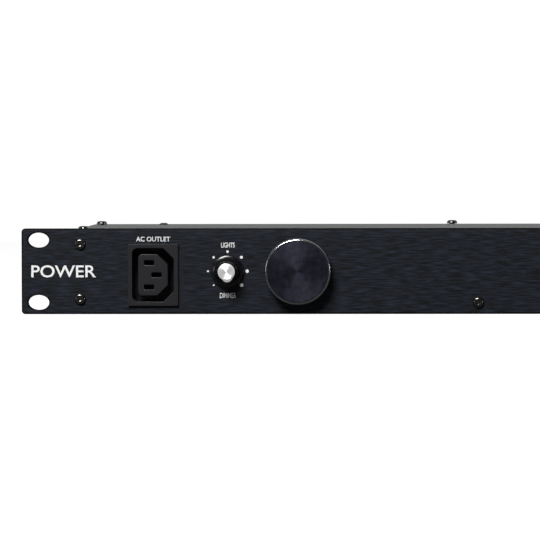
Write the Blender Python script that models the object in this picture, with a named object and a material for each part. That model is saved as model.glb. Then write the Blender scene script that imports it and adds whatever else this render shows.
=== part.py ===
"""Rack power strip, one rack unit high, with two pull-out lamps and a lamp dimmer.

Frame: +X to the right as seen from the front, +Y towards the rear, +Z up. The origin is the centre of
the footprint, on the surface that the unit stands on. Every length is in metres.
"""

import math

import bmesh
import bpy
from mathutils import Matrix, Vector

# Clearances
FIT_GAP = 0.0003  # between neighbouring pieces that touch on the real object
SLIDE_GAP = 0.0004  # around a piece that slides or turns in another
CUT_MARGIN = 0.0040  # how far a cutter reaches past the face that it opens
WELD = 0.0002  # how far a shape sinks into the one that it is joined to

# Front panel: one rack unit, 19 inches wide
PANEL_W = 0.4826
PANEL_H = 0.04365
PANEL_T = 0.0032
PANEL_CORNER_R = 0.0018
SLOT_LENGTH = 0.0106
SLOT_WIDTH = 0.0076
SLOT_INSET = 0.00875  # slot centre from the panel's end
SLOT_RISE = 0.03175 / 2  # slot centre from the panel's middle line
PANEL_REBATE = 0.0003  # the panel's back is milled this deep where the case seats

# Case of folded sheet steel
EAR_W = 0.0254  # how far the panel stands out past each side of the case
CASE_DEPTH = 0.1556
CASE_SETBACK = 0.0012  # how far the case stays below the panel's top edge and above its bottom edge
SHEET_T = 0.0012
FLANGE_W = 0.0110
TAB_W = 0.0140
CENTRE_TAB_W = 0.0240
CENTRE_TAB_H = 0.0120
STANDOFF_H = 0.0060
STANDOFF_R = 0.0030
STANDOFF_INSET = 0.0060
RIVET_R = 0.0024
RIVET_H = 0.0010
RIVET_INSET = 0.0381  # from the case's side
RIVET_REAR = 0.0170  # from the case's rear

# Button head screws, M3
SCREW_R = 0.0015
SCREW_HOLE_GAP = 0.0003
PANEL_SCREW_LENGTH = 0.0060
COVER_SCREW_LENGTH = 0.0042
SCREW_HEAD_R = 0.00285
SCREW_HEAD_H = 0.0018
SCREW_SOCKET_R = 0.00118
SCREW_SOCKET_DEPTH = 0.0010
SIDE_SCREW_INSET = 0.0046  # from the case's side
SIDE_SCREW_RISE = 0.0140
CENTRE_SCREW_X = -0.0089
CENTRE_SCREW_UP = 0.0060  # above the panel's bottom edge
COVER_SCREW_INSET = 0.0050
COVER_SCREW_FRONT = 0.0142
COVER_SCREW_REAR = 0.0217
COVER_SCREW_X = -0.0224  # the screw at the rear edge

# Outlet in the front panel
OUTLET_INSET = 0.0418  # outlet centre from the case's left side
OUTLET_DROP = 0.0018  # outlet centre below the panel's middle line
OUTLET_RIM = 0.0022  # flange around the recess
OUTLET_FLANGE_T = 0.0016
OUTLET_LIP = 0.0010  # how far the flange overlaps the body
OUTLET_RECESS_W = 0.0212
OUTLET_RECESS_H = 0.0272
OUTLET_RECESS_DEPTH = 0.0170
OUTLET_CORNER_R = 0.0028
OUTLET_CHAMFER = 0.0054
OUTLET_GROOVE = 0.0030
OUTLET_DEPTH = 0.0260  # behind the flange
OUTLET_SLOT_W = 0.0050
OUTLET_SLOT_H = 0.0022
OUTLET_PIN_RISE = 0.0062
OUTLET_PIN_SHIFT = -0.0020
OUTLET_EARTH_SHIFT = 0.0018
CONTACT_LEAF_T = 0.0004
CONTACT_GAP = 0.0002
CONTACT_TAIL = 0.0060
CONTACT_INSET = 0.0020
CONTACT_FRONT = 0.0070  # behind the panel's front face

# Outlets in the rear wall, two blocks of four
REAR_OUTLETS_PER_BLOCK = 4
REAR_PITCH = 0.0270
REAR_RECESS_W = 0.0214
REAR_RECESS_H = 0.0286
REAR_CORNER_R = 0.0030
REAR_CHAMFER = 0.0060
REAR_RIM = 0.0025  # flange above and below the recesses
REAR_FLANGE_T = 0.0018
REAR_LIP = 0.0012
REAR_DEPTH = 0.0240
REAR_RECESS_DEPTH = 0.0170
REAR_PIN_RISE = 0.0070
REAR_EARTH_SHIFT = 0.0040
REAR_SLOT_W = 0.0050
REAR_SLOT_H = 0.0024
REAR_SLOT_DEPTH = 0.0150
REAR_FIRST_EDGE = 0.0300  # first block's edge from the case's left side
REAR_BLOCK_GAP = 0.0060
BAR_T = 0.0010
BAR_H = 0.0030

# Power inlet in the rear wall
INLET_INSET = 0.0660  # inlet centre from the case's right side
INLET_RIM = 0.0032  # flange around the cavity
INLET_CAVITY_W = 0.0246
INLET_CAVITY_H = 0.0172
INLET_CHAMFER = 0.0050
INLET_CORNER_R = 0.0015
INLET_WALL = 0.0013
INLET_FLANGE_R = 0.0020
INLET_CAVITY_DEPTH = 0.0160
INLET_FLOOR = 0.0040
INLET_PIN_W = 0.0020
INLET_PIN_H = 0.0040
INLET_PIN_REACH = 0.0135
INLET_PIN_TAIL = 0.0070
INLET_PIN_SPREAD = 0.0070
INLET_PIN_SHIFT = 0.0020

# Lamp dimmer
DIMMER_INSET = 0.0797  # knob centre from the case's left side
KNOB_SKIRT_R = 0.00825
KNOB_SKIRT_H = 0.0022
KNOB_BASE_R = 0.0066
KNOB_TOP_R = 0.0054
KNOB_H = 0.0120
KNOB_WALL = 0.0014
KNOB_EDGE = 0.0007
KNOB_HOLLOW_H = 0.0050
KNOB_GAP = 0.0006  # between the skirt and the panel
INLAY_R = 0.00435
INLAY_T = 0.0007
INLAY_SEAT = 0.0004
POINTER_REACH = 0.0053
POINTER_R = 0.0016
POINTER_TURN = math.radians(171.0)  # clockwise from the top, seen from the front
SHAFT_R = 0.0030
SHAFT_TIP = 0.0020  # from the knob's top to the shaft's end
POT_BUSH_WALL = 0.0005
POT_NUT_WALL = 0.0019
POT_NUT_T = 0.0016
POT_W = 0.0170
POT_H = 0.0200
POT_CORNER_R = 0.0040
POT_DEPTH = 0.0100

# Pull-out lamps
LAMP_INSET = 0.1157  # lamp axis from the case's side
LAMP_CAP_RIM = 0.00125  # how far the cap stands out past the tube
LAMP_CAP_H = 0.0095
LAMP_CAP_CHAMFER = 0.0010
LAMP_SPIGOT_H = 0.0080
LAMP_TUBE_R = 0.0155
LAMP_TUBE_WALL = 0.0015
LAMP_REAR_GAP = 0.0060  # between the lamp guides and the rear outlets
LAMP_WINDOW_START = 0.0080
LAMP_WINDOW_REAR = 0.0116  # tube left whole behind the window
LAMP_WINDOW_HALF = math.radians(40.0)
LENS_T = 0.0010
LENS_HALF = math.radians(52.0)
LED_BOARD_GAP = 0.0010  # between the board's edges and the tube's bore
LED_BOARD_T = 0.0016
LED_BOARD_DROP = 0.0030  # below the lamp's axis
LED_COUNT = 3
LED_SIDE = 0.0050
LED_H = 0.0016
PLUG_LENGTH = 0.0080
PIVOT_R = 0.0040
PIVOT_HEAD_R = 0.0052
PIVOT_HEAD_T = 0.0020
CARRIAGE_T = 0.0060
CARRIAGE_RIM = 0.0005  # how far the carriage stands out past the tube, on each side
CARRIAGE_TOP = 0.0140  # above the lamp's axis
GUIDE_WALL = 0.0015
GUIDE_BLOCK_T = 0.0120
GUIDE_WALL_H = 0.0105
GUIDE_SPARE = 0.0100  # channel left behind the carriage

# Power switch
SWITCH_INSET = 0.0418  # switch centre from the case's right side
SWITCH_BEZEL_W = 0.0256
SWITCH_BEZEL_H = 0.0316
SWITCH_BEZEL_T = 0.0018
SWITCH_LIP = 0.0010
SWITCH_DEPTH = 0.0220
SWITCH_SIDE_WALL = 0.0020
SWITCH_END_WALL = 0.0015
SWITCH_CAVITY_DEPTH = 0.0130
ROCKER_SIDE_GAP = 0.0004
ROCKER_END_GAP = 0.0010
ROCKER_T = 0.0050
ROCKER_PROUD = 0.0030
ROCKER_TILT = math.radians(8.0)
ROCKER_PIN_R = 0.0014
ROCKER_PIN_OUT = 0.0012
ROCKER_PIVOT_IN = 0.0030  # pivot behind the panel's front face
TERMINAL_W = 0.0063
TERMINAL_T = 0.0008
TERMINAL_REACH = 0.0080
SWITCH_TERMINAL_X = 0.0065
SWITCH_TERMINAL_Z = 0.0075

# Circuit breaker
BREAKER_INSET = 0.0797
BREAKER_W = 0.0140
BREAKER_H = 0.0320
BREAKER_DEPTH = 0.0260
BREAKER_BUSH_WALL = 0.0012
BREAKER_NUT_WALL = 0.0031
BREAKER_NUT_T = 0.0028
BREAKER_TERMINAL_Z = 0.0090
BREAKER_BUSH_OUT = 0.0045
BUTTON_R = 0.0032
BUTTON_EDGE = 0.0005
BUTTON_OUT = 0.0085  # button's tip in front of the panel
BUTTON_IN = 0.0120  # button's foot behind the panel's front face

# Indicator
INDICATOR_INSET = 0.0620
INDICATOR_R = 0.0025
INDICATOR_OUT = 0.0020
INDICATOR_BODY = 0.0060
INDICATOR_FLANGE_R = 0.0032

# Filter board and what stands on it
BOARD_SIDE_GAP = 0.0030
BOARD_FRONT = 0.0250  # from the panel's rear face
BOARD_REAR_GAP = 0.0300  # between the board and the rear outlets
BOARD_T = 0.0016
CHOKE_R = 0.0160
CHOKE_WIRE_R = 0.0055
CAPACITOR_SIZE = (0.0260, 0.0120, 0.0200)
VARISTOR_R = 0.0080
VARISTOR_T = 0.0050
TRANSFORMER_SIZE = (0.0460, 0.0380, 0.0300)
TRANSFORMER_COIL = (0.0300, 0.0500, 0.0240)
TRANSFORMER_INSET = 0.0480
TRANSFORMER_FRONT = 0.0780  # its middle, behind the panel's rear face
STUD_R = 0.0020
STUD_NUT_R = 0.0040
STUD_NUT_T = 0.0032
STUD_LENGTH = 0.0110
STUD_EDGE = 0.0005
STUD_INSET = 0.0240
LEAD_R = 0.0014
LEAD_POINTS_PER_SPAN = 3

# Sides of round pieces
FINE = 40
MEDIUM = 24
COARSE = 12
ARC_STEPS = 3

# Worked out from the sizes above
MIDDLE_Z = PANEL_H / 2
CASE_W = PANEL_W - 2 * EAR_W
CASE_BOTTOM = CASE_SETBACK
CASE_TOP = PANEL_H - CASE_SETBACK
FRONT_REACH = PANEL_T + KNOB_GAP + KNOB_H + INLAY_T - INLAY_SEAT + FIT_GAP
REAR_REACH = CASE_DEPTH - SHEET_T / 2 + STUD_LENGTH / 2
BACK_Y = (FRONT_REACH - REAR_REACH) / 2  # the panel's rear face, which seats on the rack's rails
FRONT_Y = BACK_Y - PANEL_T
CASE_FRONT = BACK_Y - PANEL_REBATE + FIT_GAP
CASE_REAR = CASE_FRONT + CASE_DEPTH
REAR_SEAT_Y = CASE_REAR - SHEET_T / 2 + FIT_GAP  # where the rear wall's flanges seat
PANEL_SEAT = PANEL_T - PANEL_REBATE + FIT_GAP  # from the panel's front face to what stands behind it
FLOOR_Z = CASE_BOTTOM + SHEET_T
CEILING_Z = CASE_TOP - SHEET_T
SCREW_HOLE_R = SCREW_R + SCREW_HOLE_GAP
OUTLET_X = -CASE_W / 2 + OUTLET_INSET
OUTLET_Z = MIDDLE_Z - OUTLET_DROP
OUTLET_FLANGE_W = OUTLET_RECESS_W + 2 * OUTLET_RIM
OUTLET_FLANGE_H = OUTLET_RECESS_H + 2 * OUTLET_RIM
OUTLET_BODY_W = OUTLET_FLANGE_W - 2 * OUTLET_LIP
OUTLET_BODY_H = OUTLET_FLANGE_H - 2 * OUTLET_LIP
DIMMER_X = -CASE_W / 2 + DIMMER_INSET
THREAD_R = SHAFT_R + FIT_GAP + POT_BUSH_WALL
POT_NUT_R = THREAD_R + POT_NUT_WALL
REAR_BLOCK_W = REAR_OUTLETS_PER_BLOCK * REAR_PITCH + 2 * REAR_LIP
REAR_FLANGE_H = REAR_RECESS_H + 2 * REAR_RIM
REAR_BODY_W = REAR_BLOCK_W - 2 * REAR_LIP
REAR_BODY_H = REAR_FLANGE_H - 2 * REAR_LIP
BAR_Y = REAR_SEAT_Y - REAR_DEPTH - FIT_GAP - BAR_T / 2
INLET_X = CASE_W / 2 - INLET_INSET
INLET_FLANGE_W = INLET_CAVITY_W + 2 * INLET_RIM
INLET_FLANGE_H = INLET_CAVITY_H + 2 * INLET_RIM
INLET_BODY_W = INLET_CAVITY_W + 2 * INLET_WALL
INLET_BODY_H = INLET_CAVITY_H + 2 * INLET_WALL
INLET_TAIL = INLET_CAVITY_DEPTH + INLET_FLOOR + INLET_PIN_TAIL - REAR_FLANGE_T
LAMP_X = CASE_W / 2 - LAMP_INSET
LAMP_BORE_R = LAMP_TUBE_R - LAMP_TUBE_WALL
LAMP_CAP_R = LAMP_TUBE_R + LAMP_CAP_RIM
CARRIAGE_W = 2 * (LAMP_TUBE_R + CARRIAGE_RIM)
GUIDE_HALF_W = CARRIAGE_W / 2 + SLIDE_GAP + GUIDE_WALL
GUIDE_FLOOR_Z = FLOOR_Z + FIT_GAP + GUIDE_WALL
GUIDE_END = BAR_Y - BAR_T / 2 - LAMP_REAR_GAP - BACK_Y  # from the panel's rear face
LAMP_TUBE_END = GUIDE_END - GUIDE_SPARE - CARRIAGE_T - SLIDE_GAP
LAMP_WINDOW_LENGTH = LAMP_TUBE_END - LAMP_WINDOW_REAR - LAMP_WINDOW_START
SWITCH_X = CASE_W / 2 - SWITCH_INSET
SWITCH_BODY_W = SWITCH_BEZEL_W - 2 * SWITCH_LIP
SWITCH_BODY_H = SWITCH_BEZEL_H - 2 * SWITCH_LIP
BREAKER_X = CASE_W / 2 - BREAKER_INSET
BREAKER_BUSH_R = BUTTON_R + FIT_GAP + BREAKER_BUSH_WALL
BREAKER_NUT_R = BREAKER_BUSH_R + BREAKER_NUT_WALL
INDICATOR_X = CASE_W / 2 - INDICATOR_INSET
BOARD_W = 2 * (LAMP_X - GUIDE_HALF_W - BOARD_SIDE_GAP)
BOARD_LENGTH = BAR_Y - BAR_T / 2 - BOARD_REAR_GAP - BACK_Y - BOARD_FRONT
BOARD_MIDDLE_Y = BACK_Y + BOARD_FRONT + BOARD_LENGTH / 2
BOARD_Z = FLOOR_Z + STANDOFF_H + FIT_GAP


# Outlines, as lists of (u, v)


def arc(centre_u, centre_v, radius, start, end, steps):
    """Points along an arc, both ends included; angles in degrees."""
    angles = [math.radians(start + (end - start) * n / steps) for n in range(steps + 1)]
    return [(centre_u + radius * math.cos(a), centre_v + radius * math.sin(a)) for a in angles]


def circle(radius, steps, turn=0.0):
    """A regular polygon whose corners lie on a circle."""
    angles = [math.tau * n / steps + turn for n in range(steps)]
    return [(radius * math.cos(a), radius * math.sin(a)) for a in angles]


def rectangle(width, height):
    """A rectangle about its centre."""
    u, v = width / 2, height / 2
    return [(-u, -v), (u, -v), (u, v), (-u, v)]


def rounded(width, height, radius):
    """A rectangle about its centre with round corners."""
    u, v = width / 2 - radius, height / 2 - radius
    corners = ((u, v, 0), (-u, v, 90), (-u, -v, 180), (u, -v, 270))
    return [point for cu, cv, start in corners for point in arc(cu, cv, radius, start, start + 90, ARC_STEPS)]


def oval(length, width, steps):
    """An ellipse whose long axis is along u."""
    angles = [math.tau * n / steps for n in range(steps)]
    return [(length / 2 * math.cos(a), width / 2 * math.sin(a)) for a in angles]


def socket_outline(width, height, radius, chamfer):
    """The mains socket's outline: round corners at -u, and corners cut at 45 degrees at +u."""
    u, v = width / 2, height / 2
    cut = [(u - chamfer, -v), (u, -v + chamfer), (u, v - chamfer), (u - chamfer, v)]
    upper = arc(-u + radius, v - radius, radius, 90, 180, ARC_STEPS)
    lower = arc(-u + radius, -v + radius, radius, 180, 270, ARC_STEPS)
    return cut + upper + lower


def turned_outline(points, angle):
    """An outline turned about its origin."""
    c, s = math.cos(angle), math.sin(angle)
    return [(u * c - v * s, u * s + v * c) for u, v in points]


def moved(points, u, v):
    """An outline moved by (u, v)."""
    return [(a + u, b + v) for a, b in points]


# Meshes, built about their own origin

TO_AXIS = {
    "Y": Matrix(((1, 0, 0, 0), (0, 1, 0, 0), (0, 0, 1, 0), (0, 0, 0, 1))),
    "Z": Matrix(((1, 0, 0, 0), (0, 0, 1, 0), (0, 1, 0, 0), (0, 0, 0, 1))),
    "X": Matrix(((0, 1, 0, 0), (1, 0, 0, 0), (0, 0, 1, 0), (0, 0, 0, 1))),
}


def plate(outer, holes, start, end, axis="Y"):
    """A flat shape with holes, from start to end along an axis. (u, v) is XZ for Y, XY for Z and YZ for X."""
    bm = bmesh.new()
    edges = []
    for loop in (outer, *holes):
        ring = [bm.verts.new((u, start, v)) for u, v in loop]
        edges += [bm.edges.new(pair) for pair in zip(ring, ring[1:] + ring[:1])]
    filled = bmesh.ops.triangle_fill(bm, use_beauty=True, use_dissolve=False, edges=edges, normal=(0, 1, 0))
    faces = [item for item in filled["geom"] if isinstance(item, bmesh.types.BMFace)]
    extruded = bmesh.ops.extrude_face_region(bm, geom=faces)["geom"]
    far = [item for item in extruded if isinstance(item, bmesh.types.BMVert)]
    bmesh.ops.translate(bm, verts=far, vec=(0, end - start, 0))
    bmesh.ops.transform(bm, matrix=TO_AXIS[axis], verts=bm.verts)
    bmesh.ops.recalc_face_normals(bm, faces=bm.faces)
    return bm


def block(size, centre=(0.0, 0.0, 0.0)):
    """A box of a size about a centre."""
    bm = bmesh.new()
    bmesh.ops.create_cube(bm, size=1.0, matrix=Matrix.Translation(centre) @ Matrix.Diagonal((*size, 1.0)))
    return bm


def turned(profile, steps, closed=False):
    """A profile of (radius, y) turned about the Y axis. A closed profile makes a ring."""
    bm = bmesh.new()
    points = [bm.verts.new((r, y, 0)) for r, y in profile]
    pairs = list(zip(points, points[1:] + points[:1] if closed else points[1:]))
    edges = [bm.edges.new(pair) for pair in pairs]
    bmesh.ops.spin(
        bm, geom=points + edges, cent=(0, 0, 0), axis=(0, 1, 0), angle=math.tau, steps=steps, use_merge=True
    )
    bmesh.ops.remove_doubles(bm, verts=bm.verts, dist=1e-6)
    bmesh.ops.recalc_face_normals(bm, faces=bm.faces)
    return bm


# Objects

COLOURS = {
    "panel_black": ((0.030, 0.033, 0.040), 0.38, 0.8),
    "case_grey": ((0.060, 0.060, 0.064), 0.45, 0.0),
    "screw_black": ((0.040, 0.040, 0.042), 0.30, 0.9),
    "outlet_plastic": ((0.045, 0.045, 0.050), 0.50, 0.0),
    "knob_plastic": ((0.020, 0.020, 0.020), 0.35, 0.0),
    "spun_aluminium": ((0.850, 0.850, 0.860), 0.25, 1.0),
    "brass": ((0.780, 0.570, 0.270), 0.30, 1.0),
    "steel": ((0.620, 0.620, 0.640), 0.35, 1.0),
    "cap_black": ((0.030, 0.030, 0.032), 0.30, 0.8),
    "tube_black": ((0.040, 0.040, 0.044), 0.35, 0.8),
    "lens_frosted": ((0.850, 0.860, 0.880), 0.50, 0.0),
    "board_green": ((0.030, 0.150, 0.060), 0.50, 0.0),
    "nylon_black": ((0.030, 0.030, 0.030), 0.60, 0.0),
    "rocker_red": ((0.450, 0.020, 0.015), 0.30, 0.0),
    "button_white": ((0.800, 0.800, 0.780), 0.40, 0.0),
    "indicator_green": ((0.050, 0.450, 0.120), 0.20, 0.0),
    "copper": ((0.720, 0.380, 0.240), 0.35, 1.0),
    "capacitor_yellow": ((0.750, 0.560, 0.060), 0.45, 0.0),
    "varistor_blue": ((0.040, 0.120, 0.450), 0.45, 0.0),
    "lead_brown": ((0.200, 0.090, 0.040), 0.50, 0.0),
    "lead_blue": ((0.050, 0.160, 0.500), 0.50, 0.0),
    "lead_green": ((0.250, 0.520, 0.050), 0.50, 0.0),
}


def clear_scene():
    """Removes every object of the open file."""
    for obj in list(bpy.data.objects):
        bpy.data.objects.remove(obj)


def finish_of(name):
    """The material of that name, made when it is first asked for."""
    found = bpy.data.materials.get(name)
    if found:
        return found
    colour, roughness, metallic = COLOURS[name]
    made = bpy.data.materials.new(name)
    made.use_nodes = True
    shader = made.node_tree.nodes["Principled BSDF"]
    shader.inputs["Base Color"].default_value = (*colour, 1.0)
    shader.inputs["Roughness"].default_value = roughness
    shader.inputs["Metallic"].default_value = metallic
    return made


def place(name, bm, finish, at=(0.0, 0.0, 0.0), turn=(0.0, 0.0, 0.0)):
    """Makes an object from a bmesh, with its material, at its place."""
    mesh = bpy.data.meshes.new(name)
    bm.to_mesh(mesh)
    bm.free()
    mesh.materials.append(finish_of(finish))
    return place_mesh(name, mesh, at, turn)


def place_mesh(name, mesh, at, turn=(0.0, 0.0, 0.0)):
    """Makes an object from a mesh that other objects may share."""
    obj = bpy.data.objects.new(name, mesh)
    obj.location = at
    obj.rotation_euler = turn
    bpy.context.scene.collection.objects.link(obj)
    return obj


def helper(name, bm, at=(0.0, 0.0, 0.0)):
    """A cutter or an added shape, which isn't a piece of its own."""
    obj = place(name, bm, "steel", at)
    obj.hide_render = True
    obj.display_type = "WIRE"
    return obj


def combine(body, operation, name, bm, at=(0.0, 0.0, 0.0)):
    """Adds a Boolean modifier to a body, with a helper of that shape."""
    modifier = body.modifiers.new(name, "BOOLEAN")
    modifier.solver = "EXACT"
    modifier.operation = operation
    modifier.object = helper(f"{body.name}_{name}", bm, at)


def cut(body, name, bm, at=(0.0, 0.0, 0.0)):
    """Cuts a shape out of a body."""
    combine(body, "DIFFERENCE", name, bm, at)


def add(body, name, bm, at=(0.0, 0.0, 0.0)):
    """Joins a shape to a body."""
    combine(body, "UNION", name, bm, at)


def smooth(*objects):
    """Shades round pieces smooth, and keeps their edges sharp."""
    for obj in objects:
        obj.data.shade_smooth()
        obj.data.set_sharp_from_angle(angle=math.radians(35))


def baked(obj):
    """The mesh of an object with its modifiers applied, for pieces that share it. The object goes."""
    bpy.context.view_layer.update()
    graph = bpy.context.evaluated_depsgraph_get()
    mesh = bpy.data.meshes.new_from_object(obj.evaluated_get(graph))
    for modifier in obj.modifiers:
        bpy.data.objects.remove(modifier.object)
    bpy.data.objects.remove(obj)
    return mesh


# Where things sit


def side_screws():
    """(name, x, z) of the four screws at the panel's ends."""
    x = CASE_W / 2 - SIDE_SCREW_INSET
    return [
        (f"panel_screw_{height}_{side}", sign * x, MIDDLE_Z + rise * SIDE_SCREW_RISE)
        for side, sign in (("left", -1), ("right", 1))
        for height, rise in (("upper", 1), ("lower", -1))
    ]


def panel_screws():
    """(name, x, z) of every screw in the front panel."""
    return side_screws() + [("panel_screw_centre", CENTRE_SCREW_X, CENTRE_SCREW_UP)]


def cover_screws():
    """(name, x, y) of every screw in the top cover."""
    x = CASE_W / 2 - COVER_SCREW_INSET
    front = CASE_FRONT + COVER_SCREW_FRONT
    rear = CASE_REAR - COVER_SCREW_REAR
    found = [
        (f"cover_screw_{depth}_{side}", sign * x, y)
        for side, sign in (("left", -1), ("right", 1))
        for depth, y in (("front", front), ("rear", rear))
    ]
    return found + [("cover_screw_centre", COVER_SCREW_X, CASE_REAR - COVER_SCREW_INSET - SHEET_T)]


def rear_blocks():
    """(name, centre x) of the two outlet blocks."""
    first = -CASE_W / 2 + REAR_FIRST_EDGE + REAR_BLOCK_W / 2
    return [("rear_outlets_left", first), ("rear_outlets_right", first + REAR_BLOCK_W + REAR_BLOCK_GAP)]


def standoffs():
    """(x, y) of the board's four standoffs."""
    reach = BOARD_LENGTH / 2 - STANDOFF_INSET
    across = BOARD_W / 2 - STANDOFF_INSET
    return [(side * across, BOARD_MIDDLE_Y + end * reach) for side in (-1, 1) for end in (-1, 1)]


# Casing


def cutout(width, height):
    """A rectangular cutout for a body of that size."""
    return rectangle(width + 2 * FIT_GAP, height + 2 * FIT_GAP)


def front_panel():
    """The front plate, with its rack slots and every hole, and the shallow seat for the case on its back."""
    slots = [
        moved(oval(SLOT_LENGTH, SLOT_WIDTH, FINE), side * (PANEL_W / 2 - SLOT_INSET), end * SLOT_RISE)
        for side in (-1, 1)
        for end in (-1, 1)
    ]
    holes = [
        *slots,
        *[moved(circle(SCREW_HOLE_R, COARSE), x, z - MIDDLE_Z) for _, x, z in panel_screws()],
        *[moved(circle(LAMP_TUBE_R + SLIDE_GAP, FINE), side * LAMP_X, 0) for side in (-1, 1)],
        moved(cutout(OUTLET_BODY_W, OUTLET_BODY_H), OUTLET_X, -OUTLET_DROP),
        moved(cutout(SWITCH_BODY_W, SWITCH_BODY_H), SWITCH_X, -OUTLET_DROP),
        moved(circle(THREAD_R + FIT_GAP, COARSE), DIMMER_X, 0),
        moved(circle(BREAKER_BUSH_R + FIT_GAP, COARSE), BREAKER_X, 0),
        moved(circle(INDICATOR_R + FIT_GAP, COARSE), INDICATOR_X, 0),
    ]
    at = (0, BACK_Y, MIDDLE_Z)
    outer = rounded(PANEL_W, PANEL_H, PANEL_CORNER_R)
    panel = place("front_panel", plate(outer, holes, -PANEL_T, 0.0), "panel_black", at)
    seat = rectangle(CASE_W + 2 * FIT_GAP, PANEL_H + CUT_MARGIN)
    cut(panel, "case_seat", plate(seat, (), -PANEL_REBATE, CUT_MARGIN), at)


def tray_section():
    """The folded sheet's section: floor, two sides and the flanges that the cover lies on."""
    half = CASE_W / 2
    inner = half - SHEET_T
    lip = half - FLANGE_W
    top = CEILING_Z - FIT_GAP
    under = top - SHEET_T
    right = [(half, CASE_BOTTOM), (half, top), (lip, top), (lip, under), (inner, under), (inner, FLOOR_Z)]
    return right + [(-x, z) for x, z in reversed(right)]


def rear_wall_holes():
    """Openings of the rear wall for the outlet blocks, the inlet and the earth stud."""
    return [
        *[moved(cutout(REAR_BODY_W, REAR_BODY_H), x, MIDDLE_Z) for _, x in rear_blocks()],
        moved(cutout(INLET_BODY_W, INLET_BODY_H), INLET_X, MIDDLE_Z),
        moved(circle(STUD_R + FIT_GAP, COARSE), CASE_W / 2 - STUD_INSET, MIDDLE_Z),
    ]


def upright(bm):
    """Turns a shape that was made along Y, so that its +Y points up."""
    bmesh.ops.rotate(bm, verts=bm.verts, matrix=Matrix.Rotation(math.pi / 2, 3, "X"))
    return bm


def chassis_tray():
    """Floor, sides, rear wall, front tabs and pressed-in standoffs: one folded piece."""
    tray = place("chassis_tray", plate(tray_section(), (), CASE_FRONT, CASE_REAR), "case_grey")
    bite = SHEET_T / 2
    low = CASE_BOTTOM + bite
    high = CEILING_Z - FIT_GAP - bite
    middle = (low + high) / 2
    wall_w = CASE_W - SHEET_T
    rear = CASE_REAR - bite
    wall = moved(rectangle(wall_w, high - low), 0, middle)
    add(tray, "rear_wall", plate(wall, rear_wall_holes(), rear - SHEET_T, rear))
    flange = block((wall_w - 2 * FLANGE_W, FLANGE_W, SHEET_T - WELD), (0, rear - bite - FLANGE_W / 2, high))
    add(tray, "rear_flange", flange)
    front = CASE_FRONT + WELD
    for name, side in (("left", -1), ("right", 1)):
        tab = moved(rectangle(TAB_W, high - low), side * (wall_w - TAB_W) / 2, middle)
        holes = [moved(circle(SCREW_HOLE_R, COARSE), x, z) for _, x, z in side_screws() if x * side > 0]
        add(tray, f"tab_{name}", plate(tab, holes, front, front + SHEET_T))
    tab = moved(rectangle(CENTRE_TAB_W, CENTRE_TAB_H), CENTRE_SCREW_X, low + CENTRE_TAB_H / 2)
    hole = moved(circle(SCREW_HOLE_R, COARSE), CENTRE_SCREW_X, CENTRE_SCREW_UP)
    add(tray, "tab_centre", plate(tab, [hole], front, front + SHEET_T))
    for n, (x, y) in enumerate(standoffs()):
        post = upright(rod(STANDOFF_R, -bite, STANDOFF_H, COARSE))
        add(tray, f"standoff_{n}", post, (x, y, FLOOR_Z))
    for n, (_, x, y) in enumerate(cover_screws()):
        hole = plate(circle(SCREW_HOLE_R, COARSE), (), -CUT_MARGIN, CUT_MARGIN, "Z")
        cut(tray, f"cover_hole_{n}", hole, (x, y, CEILING_Z))


def top_cover():
    """The flat lid, with screw holes and two rivets."""
    holes = [moved(circle(SCREW_HOLE_R, COARSE), x, y) for _, x, y in cover_screws()]
    outer = moved(rounded(CASE_W, CASE_DEPTH, PANEL_CORNER_R), 0, (CASE_FRONT + CASE_REAR) / 2)
    cover = place("top_cover", plate(outer, holes, CEILING_Z, CASE_TOP, "Z"), "case_grey")
    profile = [(0, -WELD), (RIVET_R, -WELD), (RIVET_R, RIVET_H * 0.4), (RIVET_R * 0.6, RIVET_H), (0, RIVET_H)]
    for name, side in (("left", -1), ("right", 1)):
        head = upright(turned(profile, COARSE))
        head_at = (side * (CASE_W / 2 - RIVET_INSET), CASE_REAR - RIVET_REAR, CASE_TOP)
        add(cover, f"rivet_{name}", head, head_at)


def screw_mesh(length):
    """A button head screw with a hexagon socket. Its seat is at y = 0 and its shank runs along +Y."""
    head = SCREW_HEAD_H
    profile = [
        (0, length),
        (SCREW_R, length),
        (SCREW_R, 0),
        (SCREW_HEAD_R, 0),
        (SCREW_HEAD_R, -head * 0.2),
        (SCREW_HEAD_R * 0.86, -head * 0.65),
        (SCREW_HEAD_R * 0.58, -head),
        (0, -head),
    ]
    screw = place("screw_pattern", turned(profile, COARSE), "screw_black")
    socket = plate(circle(SCREW_SOCKET_R, 6), (), -head - CUT_MARGIN, SCREW_SOCKET_DEPTH - head)
    cut(screw, "socket", socket)
    return baked(screw)


def screws():
    """Every screw: the panel's are longer than the cover's."""
    long = screw_mesh(PANEL_SCREW_LENGTH)
    for name, x, z in panel_screws():
        smooth(place_mesh(name, long, (x, FRONT_Y - FIT_GAP, z)))
    short = screw_mesh(COVER_SCREW_LENGTH)
    for name, x, y in cover_screws():
        smooth(place_mesh(name, short, (x, y, CASE_TOP + FIT_GAP), (-math.pi / 2, 0, 0)))


# Front outlet


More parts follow.
